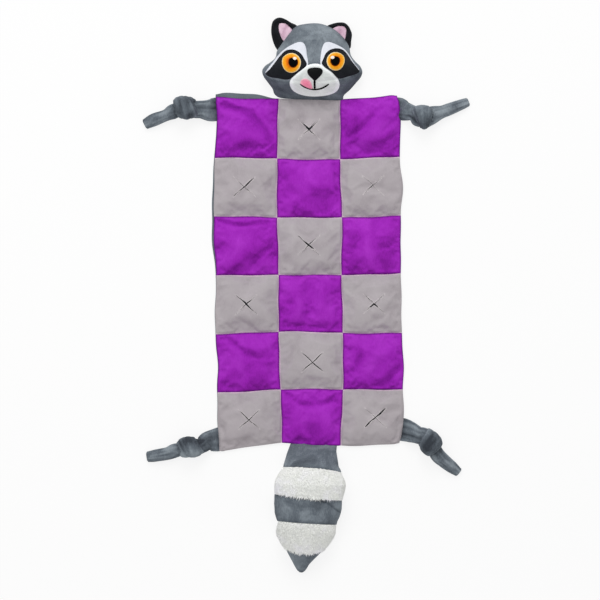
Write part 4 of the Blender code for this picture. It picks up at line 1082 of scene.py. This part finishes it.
# The seam between the upper face and the cheeks, in pixels
CHEEK_SEAM = ((262.0, 71.6), (266.0, 74.8), (272.0, 78.2), (280.0, 79.2), (290.0, 80.0),
              (314.0, 80.6), (338.0, 78.8), (346.0, 77.0), (353.0, 74.4), (360.0, 70.6))


def below_cheek_seam(place, z):
    """How far under the cheek seam a place is seen, in pixels."""
    near = (1 - z / CAMERA_PLACE.z) * PIXEL
    px = (place.x - CAMERA_PLACE.x) / near + IMAGE_SIZE / 2
    py = IMAGE_SIZE / 2 - (place.y - CAMERA_PLACE.y) / near
    return py - float(np.interp(px, *zip(*CHEEK_SEAM)))


def face_height(place, share, turn):
    """Height of the stuffed face over a place inside the outline."""
    seam = head_seam_height(place.y)
    rise = 0.0262 * max(1 - share**2.5, 0) ** 0.56
    rise *= 0.42 + 0.58 * smooth_step((place.y - NECK_Y + 0.005) / 0.020)
    away = Vector((place.x - 0.0063, place.y - 0.2389, 0)).length
    snout = 0.0046 * math.exp(-(away / 0.0215) ** 2)
    pucker = 0.0007 * math.exp(-((1 - share) / 0.09) ** 2) * noise.noise(Vector((turn * 40, 0, 3)))
    sides = 0.0010 * noise.noise(place * 45 + Vector((7, 3, 0))) * (1 - share)
    height = seam + rise + snout * (1 - share**6) + pucker + sides
    under = below_cheek_seam(place, height)
    groove = 0.0009 * math.exp(-(under / 1.5) ** 2)
    cheek = 0.0010 * math.exp(-((under - 6) / 5) ** 2)
    return height - (groove - cheek) * min((1 - share) / 0.06, 1)


def back_height(place, share, turn):
    """Height of the back cover: it hangs from the seam and lies flat on the floor."""
    seam = head_seam_height(place.y)
    drop = 0.019 * max(1 - share**2.2, 0) ** 0.6
    return max(seam - drop, REST + 0.0002 * noise.noise(place * 80) + 0.0002)


def on_head(piece, node):
    """A piece that rides on the head and bends with its neck tab."""
    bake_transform(piece, "row_1", "head", start=(0, NECK_Y, 0), end=(0, CHIN_END_Y, 0))
    declare(node)


def head_cover(node, height, rings, lower):
    """A cover of the head, whose faces look down where it is the lower one."""
    around = 168
    bm = bmesh.new()
    painted_shading = bm.verts.layers.float.new("painted_shading")
    rows = []
    for ring, places in enumerate(head_grid(rings, around)):
        if ring == 0:
            place, share = places[0]
            tip = bm.verts.new((place.x, place.y, height(place, 0.0, 0.0)))
            tip[painted_shading] = 0.5
            rows.append([tip])
            continue
        row = []
        for index, (place, share) in enumerate(places):
            z = height(place, share, index / around)
            vertex = bm.verts.new((place.x, place.y, z))
            under = below_cheek_seam(place, z)
            # Painted light and shade: the cover is painted lighter towards the top of the head, darker at
            # its rim where it turns down, darker below the cheek seam and in the seam's groove. It is also
            # darker down the middle between the brows, and a lighter line runs along the cheek seam.
            light = 0.84 + 5.0 * (place.y - 0.262) - 0.20 * max(share - 0.90, 0) / 0.10
            light -= 0.40 * smooth_step((under + 0.6) / 1.6)
            light -= 0.25 * math.exp(-((under - 1.8) / 1.3) ** 2)
            light += 1.15 * math.exp(-((under - 0.5) / 0.85) ** 2)
            light -= 0.38 * math.exp(-((place.x - 0.006) / 0.007) ** 2) * (place.y < 0.274)
            vertex[painted_shading] = min(max(light, 0.0), 1.0)
            row.append(vertex)
        rows.append(row)
    ring_faces(bm, rows)
    piece = make_piece(f"{node}_cloth", bm, grey_plush)
    top = max(piece.data.polygons, key=lambda p: p.area)
    if (top.normal.z < 0) != lower:
        piece.data.flip_normals()
    thicken(piece, 0.0011)
    on_head(piece, node)
    return piece


def skin_of(piece):
    """A surface to lay things on, from a finished mesh."""
    return BVHTree.FromPolygons([vertex.co.copy() for vertex in piece.data.vertices],
                                [list(polygon.vertices) for polygon in piece.data.polygons])


def laid_on(skin, px, py, z=0.036):
    """The place and the slope of a surface at a pixel, as the camera sees it."""
    normal = Vector((0, 0, 1))
    for _ in range(4):
        above = spot(px, py, z)
        hit, slope, _, _ = skin.ray_cast(Vector((above.x, above.y, 0.2)), Vector((0, 0, -1)))
        if hit is None:
            break
        z, normal = hit.z, slope
    return spot(px, py, z), normal if normal.z > 0 else -normal


def sewn_disc(name, node, outline, middle, material, skin, edge, crown, power, count=96,
              rings=12, brushed=0.0):
    """A closed lens sewn flat on the head: its edge and its crown stand over the skin by their
    lifts. Its painted shading is darker at its rim where it turns down, and lighter towards its
    bottom by brushed, as painted light against the shade there."""
    sink = 0.0007
    bm = bmesh.new()
    reach, rim, painted_shading = (bm.verts.layers.float.new(label) for label in ("reach", "rim", "painted_shading"))
    path = smooth_path(outline, count, closed=True)
    low = min(py for _, py in path)
    tall = max(py for _, py in path) - low
    upper, under = [], []
    for ring in range(rings + 1):
        share = 1 - (1 - ring / rings) ** 1.35
        row = []
        for px, py in path[:1] if ring == 0 else path:
            down = middle[1] + (py - middle[1]) * share
            place, normal = laid_on(skin, middle[0] + (px - middle[0]) * share, down)
            lift = edge + (crown - edge) * max(1 - share**power, 0) ** 0.5
            vertex = bm.verts.new(place + normal * lift)
            vertex[reach] = share
            vertex[rim] = min(max((share - 0.80) / 0.14, 0), 1)
            # Painted shading: darker at the rim where the piece turns down, and lighter towards its bottom
            # by brushed, as painted light against the shade there
            vertex[painted_shading] = (0.62 - 0.5 * max(share - 0.9, 0) / 0.1
                            + brushed * ((down - low) / tall - 0.5))
            row.append(vertex)
            if ring == rings:
                under.append(bm.verts.new(place - normal * sink))
                under[-1][reach] = 1.0
        upper.append(row)
    ring_faces(bm, upper)
    place, normal = laid_on(skin, *middle)
    heart = bm.verts.new(place - normal * sink)
    for index in range(count):
        after = (index + 1) % count
        bm.faces.new((upper[-1][after], upper[-1][index], under[index], under[after]))
        bm.faces.new((heart, under[after], under[index]))
    piece = make_piece(name, bm, material, sharp=60)
    on_head(piece, node)
    return piece


def round_outline(middle, radius, count=20):
    return [(middle[0] + radius * math.cos(math.tau * k / count),
             middle[1] + radius * math.sin(math.tau * k / count)) for k in range(count)]


def make_face(skin):
    for side, brow, mask, middle_x in (("left", BROW_LEFT, MASK_LEFT, 291.0),
                                       ("right", BROW_RIGHT, MASK_RIGHT, 335.5)):
        iris, radius, pupil, glint = EYES[side]
        sewn_disc(f"brow_{side}_cloth", f"brow_{side}", brow, (middle_x, 57.0),
                  white_plush, skin, 0.0005, 0.0010, 8)
        sewn_disc(f"mask_{side}_cloth", f"mask_{side}", mask, (middle_x, 64.5),
                  black_plush, skin, 0.0009, 0.0017, 6)
        sewn_disc(f"eye_{side}_stitching", f"eye_{side}",
                  round_outline(iris, radius), iris, iris_stitch, skin, 0.0016, 0.0027, 3)
        sewn_disc(f"pupil_{side}_stitching", f"pupil_{side}",
                  round_outline(pupil, 4.8), pupil, pupil_stitch, skin, 0.0027, 0.0032, 4,
                  count=64, rings=10)
        sewn_disc(f"glint_{side}_stitching", f"pupil_{side}",
                  round_outline(glint, 1.9), glint, glint_stitch, skin, 0.0029, 0.0036, 4,
                  count=40, rings=6)
    # brushed=1.5 paints the muzzle lighter towards its bottom, as painted light against the shade there
    muzzle = sewn_disc("muzzle_cloth", "muzzle", MUZZLE, (315.0, 81.0),
                       muzzle_plush, skin, 0.0002, 0.0019, 5, count=128, rings=16, brushed=1.5)
    snout = skin_of(muzzle)
    sewn_disc("nose_stitching", "nose", NOSE, (315.0, 72.6), nose_stitch, snout,
              0.0007, 0.0025, 2.4, rings=10)
    sewn_disc("tongue_stitching", "tongue", TONGUE, (306.8, 83.6),
              tongue_stitch, snout, 0.0003, 0.0008, 4, rings=8)
    bm = bmesh.new()
    for points, count in ((LIP_LINE, 14), (SMILE, 40)):
        rows = []
        places = [laid_on(snout, px, py) for px, py in smooth_path(points, count)]
        axes = side_axes([place for place, _ in places], [normal for _, normal in places])
        for index, ((place, normal), (aside, upward)) in enumerate(zip(places, axes)):
            share = index / (count - 1)
            full = max(1 - abs(2 * share - 1) ** 8, 0) ** 0.5
            twist = 1 + 0.10 * math.sin(index * 1.9)
            rows.append((place + normal * 0.00045, aside, upward, 0.00112 * full * twist,
                         0.00072 * full))
        tube = swept_tube(rows, 10)
        mesh = bpy.data.meshes.new("line")
        tube.to_mesh(mesh)
        tube.free()
        bm.from_mesh(mesh)
        bpy.data.meshes.remove(mesh)
    on_head(make_piece("mouth_stitching", bm, black_stitch), "mouth_line")


def make_ears():
    for side in ("left", "right"):
        outline, lining = EARS[side]
        for kind, points, material in (("back", outline, black_plush),
                                       ("lining", lining, ear_plush)):
            count, rings = 96, 14
            middle = Vector(tuple(sum(p[i] for p in points) / len(points) for i in (0, 1)))
            bm = bmesh.new()
            painted_shading = bm.verts.layers.float.new("painted_shading")
            path = smooth_path(points, count, closed=True)
            edges = []
            for top in (True, False):
                rows = []
                for ring in range(rings + 1):
                    share = ring / rings
                    row = []
                    for px, py in path[:1] if ring == 0 else path:
                        x = middle.x + (px - middle.x) * share
                        y = middle.y + (py - middle.y) * share
                        base = 0.0136 + 0.00006 * max(44 - y, 0)
                        ruffle = 0.0006 * noise.noise(Vector((x * 0.2, y * 0.2, 5 if top else 8)))
                        if kind == "back":
                            roll = max(1 - ((share - 0.86) / 0.145) ** 2, 0) ** 0.5
                            up = 0.0024 * roll if share > 0.72 else 0.0002
                            down = -0.0030 * max(1 - share**4, 0) ** 0.5
                        else:
                            crease = math.exp(-((x - middle.x) * 0.8 + (y - middle.y) * 0.35) ** 2
                                              / 6)
                            up = 0.0005 + 0.0016 * max(1 - share**3, 0) ** 0.5 - 0.0010 * crease
                            down = 0.00035
                        if share == 1:
                            up = down = 0.0003
                        vertex = bm.verts.new(spot(x, y, base + (up if top else down) + ruffle))
                        # The lining is painted darker along its crease, as painted shade in it
                        vertex[painted_shading] = 0.5 if kind == "back" else min(0.75 - 0.6 * crease, 1)
                        row.append(vertex)
                    rows.append(row)
                ring_faces(bm, rows)
                edges += rows[-1]
            bmesh.ops.remove_doubles(bm, verts=edges, dist=0.0006)
            piece = make_piece(f"ear_{side}_{kind}_cloth", bm, material)
            flop = hinges[f"ear_{side}_flop"]
            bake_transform(piece, "head", f"ear_{side}", start=(flop.x, flop.y - 0.003, 0),
                     end=(flop.x, flop.y + 0.004, 0))
            declare(f"ear_{side}_{kind}")


def make_head_filling():
    """One lumpy ball of fibre inside the covers, with a hollow round the squeaker."""
    around, rings = 72, 20
    bm = bmesh.new()
    sides = []
    for height, drop in ((face_height, -0.0026), (back_height, 0.0026)):
        rows = []
        for ring, places in enumerate(head_grid(rings, around)):
            row = []
            for index, (place, share) in enumerate(places[:1] if ring == 0 else places):
                inner = place.lerp(spot(*HEAD_MIDDLE, place.z), 0.05)
                z = height(inner, min(share * 0.99, 1), index / around) + drop
                lump = abs(0.0007 * noise.noise(inner * 160)) * math.copysign(1, -drop)
                row.append(bm.verts.new((inner.x, inner.y, z - lump)))
            rows.append(row)
        ring_faces(bm, rows)
        sides.append(rows[-1])
    for index in range(around):
        after = (index + 1) % around
        bm.faces.new((sides[0][index], sides[0][after], sides[1][after], sides[1][index]))
    piece = make_piece("head_fibre", bm, filling)
    low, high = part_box("head_squeaker")
    hollow = bmesh.new()
    hollow.from_mesh(piece.data)
    ball = bmesh.ops.create_uvsphere(hollow, u_segments=32, v_segments=20, radius=1)["verts"]
    size = (Vector(high) - Vector(low)) / 2
    for vertex in ball:
        vertex.co = (Vector(low) + Vector(high)) / 2 + Vector(
            [vertex.co[axis] * (size[axis] * 1.12 + 0.0008) for axis in range(3)])
    inward = list({face for vertex in ball for face in vertex.link_faces})
    bmesh.ops.reverse_faces(hollow, faces=inward)
    hollow.to_mesh(piece.data)
    hollow.free()
    on_head(piece, "head_stuffing")


# The tail


# The picture's column at the origin
MIDDLE_COLUMN = 308.5
# Rows of the picture between which the fur stands wider than the tail, and how much, in pixels
FUR_BULGES = ((467.0, 501.0, 2.9), (522.0, 553.0, 1.9))


def seam_row(seam, across):
    """The picture's row of a seam of the tail at a share -1 to 1 across it."""
    left, middle, right = TAIL_SEAMS[seam]
    return middle + (right - left) / 2 * across + ((left + right) / 2 - middle) * across**2


def tail_place(py, turn, inset=0.0, crease=0.0):
    """A place on the skin of the stuffed tail."""
    left, right = (float(np.interp(py, *zip(*side))) for side in (TAIL_LEFT, TAIL_RIGHT))
    for first, last, bulge in FUR_BULGES:
        if first < py < last:
            share = (py - first) / (last - first)
            swell = bulge * math.sin(math.pi * share**0.8) * (1.2 - 1.2 * share**2)
            left, right = left - swell, right + swell
    height = float(np.interp(py, *zip(*TAIL_HEIGHTS))) - 2 * inset
    centre = 0.45 * height + inset
    cosine, sine = math.cos(turn), math.sin(turn)
    across = math.copysign(abs(cosine) ** 0.92, cosine)
    half = max((right - left) / 2 - (inset + crease) / PIXEL, 0.02)
    upward = (0.55 if sine > 0 else 0.45) * max(height - 2 * crease, 0.0006)
    z = max(centre + upward * math.copysign(abs(sine) ** 0.92, sine), REST + inset)
    return spot((left + right) / 2 + half * across, py, z)


def tail_band(index, around, rows, inset=0.0):
    """One band of the tail, drawn in along its seams. The tail's two ends aren't."""
    bm = woven_grid(around, rows)
    painted_shading = bm.verts.layers.float.new("painted_shading")
    for vertex in bm.verts:
        turn = math.tau * vertex.co.x
        share = 1 - vertex.co.y
        across = math.cos(turn)
        start, end = seam_row(index, across), seam_row(index + 1, across)
        py = start + (end - start) * share
        near = min(share, 1 - share) * (end - start)
        crease = 0.0013 * math.exp(-(near / 1.7) ** 2) * (0.3 + 0.7 * math.sin(turn) ** 2)
        if index == 0 and share < 0.5 or index == 4 and share > 0.5:
            crease = 0
        soft = 0.0006 * noise.noise(Vector((math.cos(turn) * 1.6, math.sin(turn) * 1.6, py * 0.07)))
        if index == 2 and math.sin(turn) > 0:
            px = tail_place(py, turn).x / PIXEL + MIDDLE_COLUMN
            away = abs(py - float(np.interp(px, *zip(*TAIL_CREASE))))
            crease += 0.0014 * math.exp(-(away / 1.4) ** 2) * smooth_step((px - 316) / 8)
        vertex.co = tail_place(py, turn, inset, crease + soft)
        # Painted shade: the band is painted darker in its creases along the seams and across the middle band
        vertex[painted_shading] = min(max(0.62 - crease * 420, 0), 1)
    bmesh.ops.remove_doubles(bm, verts=bm.verts, dist=0.00002)
    return bm


def make_tail():
    for index, name in enumerate(TAIL_BANDS):
        furry = index in (1, 3)
        bm = tail_band(index, 120, 26 if index in (0, 4) else 34, 0.0020 if furry else 0.0)
        piece = make_piece(f"{name}_cloth", bm, white_fur if furry else grey_plush)
        middle = tail_place(seam_row(index, 0) + 12, math.pi / 2)
        outer = min(piece.data.polygons, key=lambda p: (p.center - middle).length)
        if outer.normal.z < 0:
            piece.data.flip_normals()
        thicken(piece, 0.0014)
        if furry:
            add_fur(piece, index)
        if index == 0:
            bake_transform(piece, "row_6", "tail", start=(0, TAIL_Y, 0), end=(0, TAIL_Y - 0.016, 0))
        else:
            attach(piece, "tail")
        declare(name)
    bm = woven_grid(64, 60)
    for vertex in bm.verts:
        turn = math.tau * vertex.co.x
        py = 452 + (566 - 452) * (1 - vertex.co.y)
        end = max(1 - abs(2 * vertex.co.y - 1) ** 14, 0) ** 0.5
        place = tail_place(py, turn, 0.0056)
        heart = tail_place(py, math.pi / 2, 0.0056)
        heart = Vector((heart.x, place.y, max(heart.z, 0.004) * 0.5))
        vertex.co = heart.lerp(place, end * (0.97 + 0.03 * noise.noise(place * 150)))
    bmesh.ops.remove_doubles(bm, verts=bm.verts, dist=0.00003)
    piece = make_piece("tail_fibre", bm, filling)
    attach(piece, "tail")
    declare("tail_stuffing")


def add_fur(piece, index):
    """Short locks of long pile over a band, combed outwards and down, ragged at the lower edge."""
    chance = random.Random(31 + index)
    bm = bmesh.new()
    bm.from_mesh(piece.data)
    painted_shading = bm.verts.layers.float["painted_shading"]
    for _ in range(9000):
        turn = chance.uniform(-0.35, math.pi + 0.35) if chance.random() < 0.8 else \
            chance.uniform(0, math.tau)
        across = math.cos(turn)
        share = chance.uniform(-0.01, 0.97 - 0.07 * across**2)
        start, end = seam_row(index, across), seam_row(index + 1, across)
        py = start + (end - start) * share + 0.6
        root = tail_place(py, turn, 0.0024)
        out = (tail_place(py, turn, 0.0) - tail_place(py, turn, 0.0040)).normalized()
        combed = Vector((0.3 * across + chance.gauss(0, 0.25),
                         (-1.0 + 0.5 * (1 - share)) * (1 - 0.5 * across**2), 0))
        combed.y *= 0.15 + 0.85 * smooth_step(share / 0.3)
        combed = (combed - out * combed.dot(out)).normalized()
        length = chance.uniform(0.0048, 0.0072) * (1 - 0.45 * share * across**4)
        length *= 1 - 0.55 * across**4 * (1 - smooth_step(share / 0.3))
        lean = chance.uniform(0.35, 0.75)
        middle = root + out * length * 0.42 + combed * length * 0.30 * lean
        tip = root + out * length * (0.52 + 0.12 * chance.random()) + combed * length * lean * 1.1
        if min(middle.z, tip.z) < REST:
            middle.z, tip.z = max(middle.z, REST), max(tip.z, REST)
        aside = out.cross(combed).normalized()
        width = chance.uniform(0.00028, 0.00055)
        # Painted light and shade: locks are painted lighter towards the band's lower edge, against the shade
        # that falls there, with a random spread, and their roots darker
        shade = min(max(0.58 + 0.38 * share**2 + chance.gauss(0.0, 0.07), 0), 1)
        corners = []
        for place, thick in ((root, 0.8), (middle, 1.0)):
            for angle in (0.5, 2.6, 4.7):
                arch = out.lerp(-combed, 0.5) * math.sin(angle) * 0.6
                corners.append(bm.verts.new(
                    place + (aside * math.cos(angle) + arch) * (width * thick)))
                corners[-1][painted_shading] = shade * 0.8
        corners.append(bm.verts.new(tip))
        corners[-1][painted_shading] = shade
        for k in range(3):
            after = (k + 1) % 3
            bm.faces.new((corners[k], corners[after], corners[3 + after], corners[3 + k]))
            bm.faces.new((corners[3 + k], corners[3 + after], corners[6]))
        bm.faces.new((corners[2], corners[1], corners[0]))
    bm.to_mesh(piece.data)
    bm.free()
    for polygon in piece.data.polygons:
        polygon.use_smooth = True


# The limbs


KNOT_TURN = (
    # places of the tube in the knot: along the limb in mm, turn about it in degrees, distance
    # from its core in mm, half width and half height in mm
    (0, 182, 4.6, 6.2, 5.0), (7, 190, 5.8, 6.0, 5.2),
    (10.5, 245, 7.0, 6.2, 5.2), (9, 305, 8.0, 6.6, 5.2), (6, 5, 8.4, 7.2, 5.2),
    (2.5, 60, 8.6, 7.6, 5.2), (-1.5, 115, 8.4, 7.4, 5.2), (-5, 165, 8.0, 6.8, 5.2),
    (-7, 222, 7.2, 6.2, 5.0), (-5, 282, 6.2, 6.0, 4.8), (0, 330, 4.8, 5.8, 4.6),
    (6, 352, 3.4, 5.8, 4.4), (11, 0, 2.0, 5.6, 4.2),
)
KNOT_HEIGHT = 0.0118


def pleated_tube(rows, around, pleats, seed, shade, creases=()):
    """A closed cloth tube that rests on the floor, with soft lengthwise pleats. The shade gives a
    place's lightness, and creases run along the top of the first part at turns in degrees."""
    path = [Vector(row[:3]) for row in rows]
    axes = side_axes(path, [Vector(row[5:8]) for row in rows])
    bm = woven_grid(around, len(rows) - 1)
    painted_shading = bm.verts.layers.float.new("painted_shading")
    last = len(rows) - 1
    grooves = []
    for index in range(last + 1):
        swirl = index * 0.030
        grooves.append([(seed * 1.7 + k * math.tau / 7
                         + 0.6 * noise.noise(Vector((k * 9.1, swirl, seed))),
                         max(noise.noise(Vector((k * 5.3, swirl * 1.5, seed + 4))) + 0.30, 0))
                        for k in range(7)])
        near = max(1 - index / (last * 0.30), 0) ** 0.3
        grooves[-1] += [(math.radians(turn), 1.3 * near) for turn in creases]
    for vertex in bm.verts:
        turn = math.tau * vertex.co.x
        index = round(vertex.co.y * last)
        aside, upward = axes[index]
        wide, tall = rows[index][3], rows[index][4]
        swirl = index * 0.030
        wave = noise.noise(Vector((math.cos(turn) * 1.7 + seed, math.sin(turn) * 1.7, swirl)))
        wave += 0.5 * noise.noise(Vector((math.cos(turn) * 4 - seed, math.sin(turn) * 4,
                                          swirl * 1.6)))
        groove = 0
        for middle, strength in grooves[index]:
            gap = (turn - middle + math.pi) % math.tau - math.pi
            groove += strength * math.exp(-(gap / 0.15) ** 2)
        size = 1 + pleats * (wave - 1.5 * groove)
        reach = (aside * (wide * math.cos(turn)) + upward * (tall * math.sin(turn))) * size
        place = path[index] + reach
        vertex.co = (place.x, place.y, max(place.z, REST))
        # Painted light and shade: the pleats' bulges are painted lighter and their grooves darker, with the
        # shade given for the place
        light = 0.52 + wave * 0.8 - groove * 0.55 + shade(place)
        vertex[painted_shading] = min(max(light, -1.2), 2.0)
    bmesh.ops.remove_doubles(bm, verts=bm.verts, dist=0.000004)
    borders = [edge for edge in bm.edges if edge.is_boundary]
    bmesh.ops.holes_fill(bm, edges=borders, sides=0)
    return bm


def make_limbs():
    upward = Vector((0, 0, 1))
    for seed, (name, (seam, neck, knot, free, lean)) in enumerate(LIMBS.items()):
        size, slant, breadth, fan, ways_in, (ahead, aside, width_out) = KNOTS[name]
        root_light, knot_light, free_light, near_dark, creases = LIMB_SHADES[name]
        seam_one, seam_two = (spot(*end, 0.0018) for end in seam)
        start = (seam_one + seam_two) / 2
        heart = spot(*knot, KNOT_HEIGHT)
        along = (heart - spot(*neck[-1][0], KNOT_HEIGHT)).normalized()
        aim = (spot(*free[1][0], KNOT_HEIGHT) - heart).normalized()
        along = (along + aim).normalized()
        level = Vector((-along.y, along.x, 0)) * lean
        half = (seam_one - seam_two).length / 2
        seamline = (seam_two - seam_one).normalized()
        outward = Vector((seamline.y, -seamline.x, 0))
        if outward.dot(heart - start) < 0:
            outward = -outward

        # Painted light and shade: the root, the knot and the free end are painted as LIMB_SHADES says, and a
        # painted shadow runs along the mat's edge where the root goes under it
        def shade(place):
            knotted = math.exp(-((place - heart).xy.length / 0.0150) ** 6)
            side = (heart.y - place.y) / 0.007
            from_seam = (place - start).dot(outward)
            painted_mat_shadow = 0.55 * math.exp(-(max(from_seam, 0) / 0.0022) ** 2)
            return (root_light * (1 - knotted) - painted_mat_shadow
                    + (knot_light - near_dark * max(min(side, 1), -1)) * knotted)

        rows = [(*(start - outward * 0.0060), half * 0.96, 0.0005, *upward),
                (*(start + outward * 0.0004), half * 0.98, 0.0007, *upward)]
        for step, (place, width) in enumerate(neck):
            z = (0.0048, 0.0072)[step]
            rows.append((*spot(*place, z), width * PIXEL, (0.0042, 0.0052)[step], *upward))
        rows += [(*spot(*place, 0.0098), width * 0.001, 0.0046, *upward)
                 for place, width in ways_in]
        for distance, turn, radius, wide, tall in KNOT_TURN:
            angle = math.radians(turn)
            if distance < 11:
                distance *= slant
                wide *= breadth * (1 + fan * math.cos(angle))
            out = level * math.cos(angle) + upward * math.sin(angle)
            place = heart + along * (distance * 0.001) + out * (radius * size * 0.001)
            rows.append((*place, wide * 0.001, tall * 0.001, *out))
        bm = pleated_tube(smooth_rows(rows, 170), 64, 0.10, seed * 5.0, shade, creases)
        piece = make_piece(f"{name}_tube", bm, grey_plush)
        row = "row_1" if name.endswith("arm") else "row_6"
        bend = hinges[f"{name}_bend"]
        side = -1 if name.startswith("left") else 1
        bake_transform(piece, row, name, start=(bend.x, bend.y, 0),
                 end=(bend.x + 0.007 * side, bend.y, 0))
        declare(name)

        end = FREE_ENDS[name]
        exit_place = heart + along * (ahead * 0.001) + level * (aside * 0.001)
        exit_place.z = 0.0085
        rows = [(*exit_place, width_out * 0.001, 0.0040, *upward)]
        for step, (place, width) in enumerate(free):
            share = step / (len(free) - 1)
            tall = float(np.interp(share, (0, 0.33, 0.67, 1), (0.0052, 0.0049, 0.0042, 0.0028)))
            z = float(np.interp(share, (0, 0.33, 0.67, 1), (0.0078, 0.0060, 0.0047, 0.0032)))
            rows.append((*spot(*place, z), width * PIXEL, tall, *upward))
        tip, last = Vector(rows[-1][:3]), (Vector(rows[-1][:3]) - Vector(rows[-2][:3])).normalized()
        for distance, width, tall in ((0.0009, 0.88, 0.0019), (0.0016, 0.66, 0.0008)):
            rows.append((*(tip + last * distance), rows[len(free)][3] * width, tall, *upward))
        # The free end is painted darker next to the knot, as painted shade there
        bm = pleated_tube(smooth_rows(rows, 76), 64, 0.07, seed * 5.0 + 2,
                          lambda place: free_light - 0.34 * math.exp(
                              -((place - heart).xy.length / 0.016) ** 4))
        piece = make_piece(f"{end}_tube", bm, grey_plush)
        flop = hinges[f"{name.split('_')[0]}_{'hand' if name.endswith('arm') else 'foot'}_flop"]
        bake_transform(piece, name, end, start=tuple(flop - aim * 0.003), end=tuple(flop + aim * 0.005))
        declare(end)


set_stage()
make_patches(ruffled_front())
make_cross_seams()
make_backing()
face_cover = head_cover("head_face_cover", face_height, 46, lower=False)
head_cover("head_back_cover", back_height, 30, lower=True)
make_face(skin_of(face_cover))
make_ears()
make_head_filling()
make_tail()
make_limbs()
squeaker = frame["nodes"]["head_squeaker"]
squeaker.data.materials.clear()
squeaker.data.materials.append(squeaker_plastic)
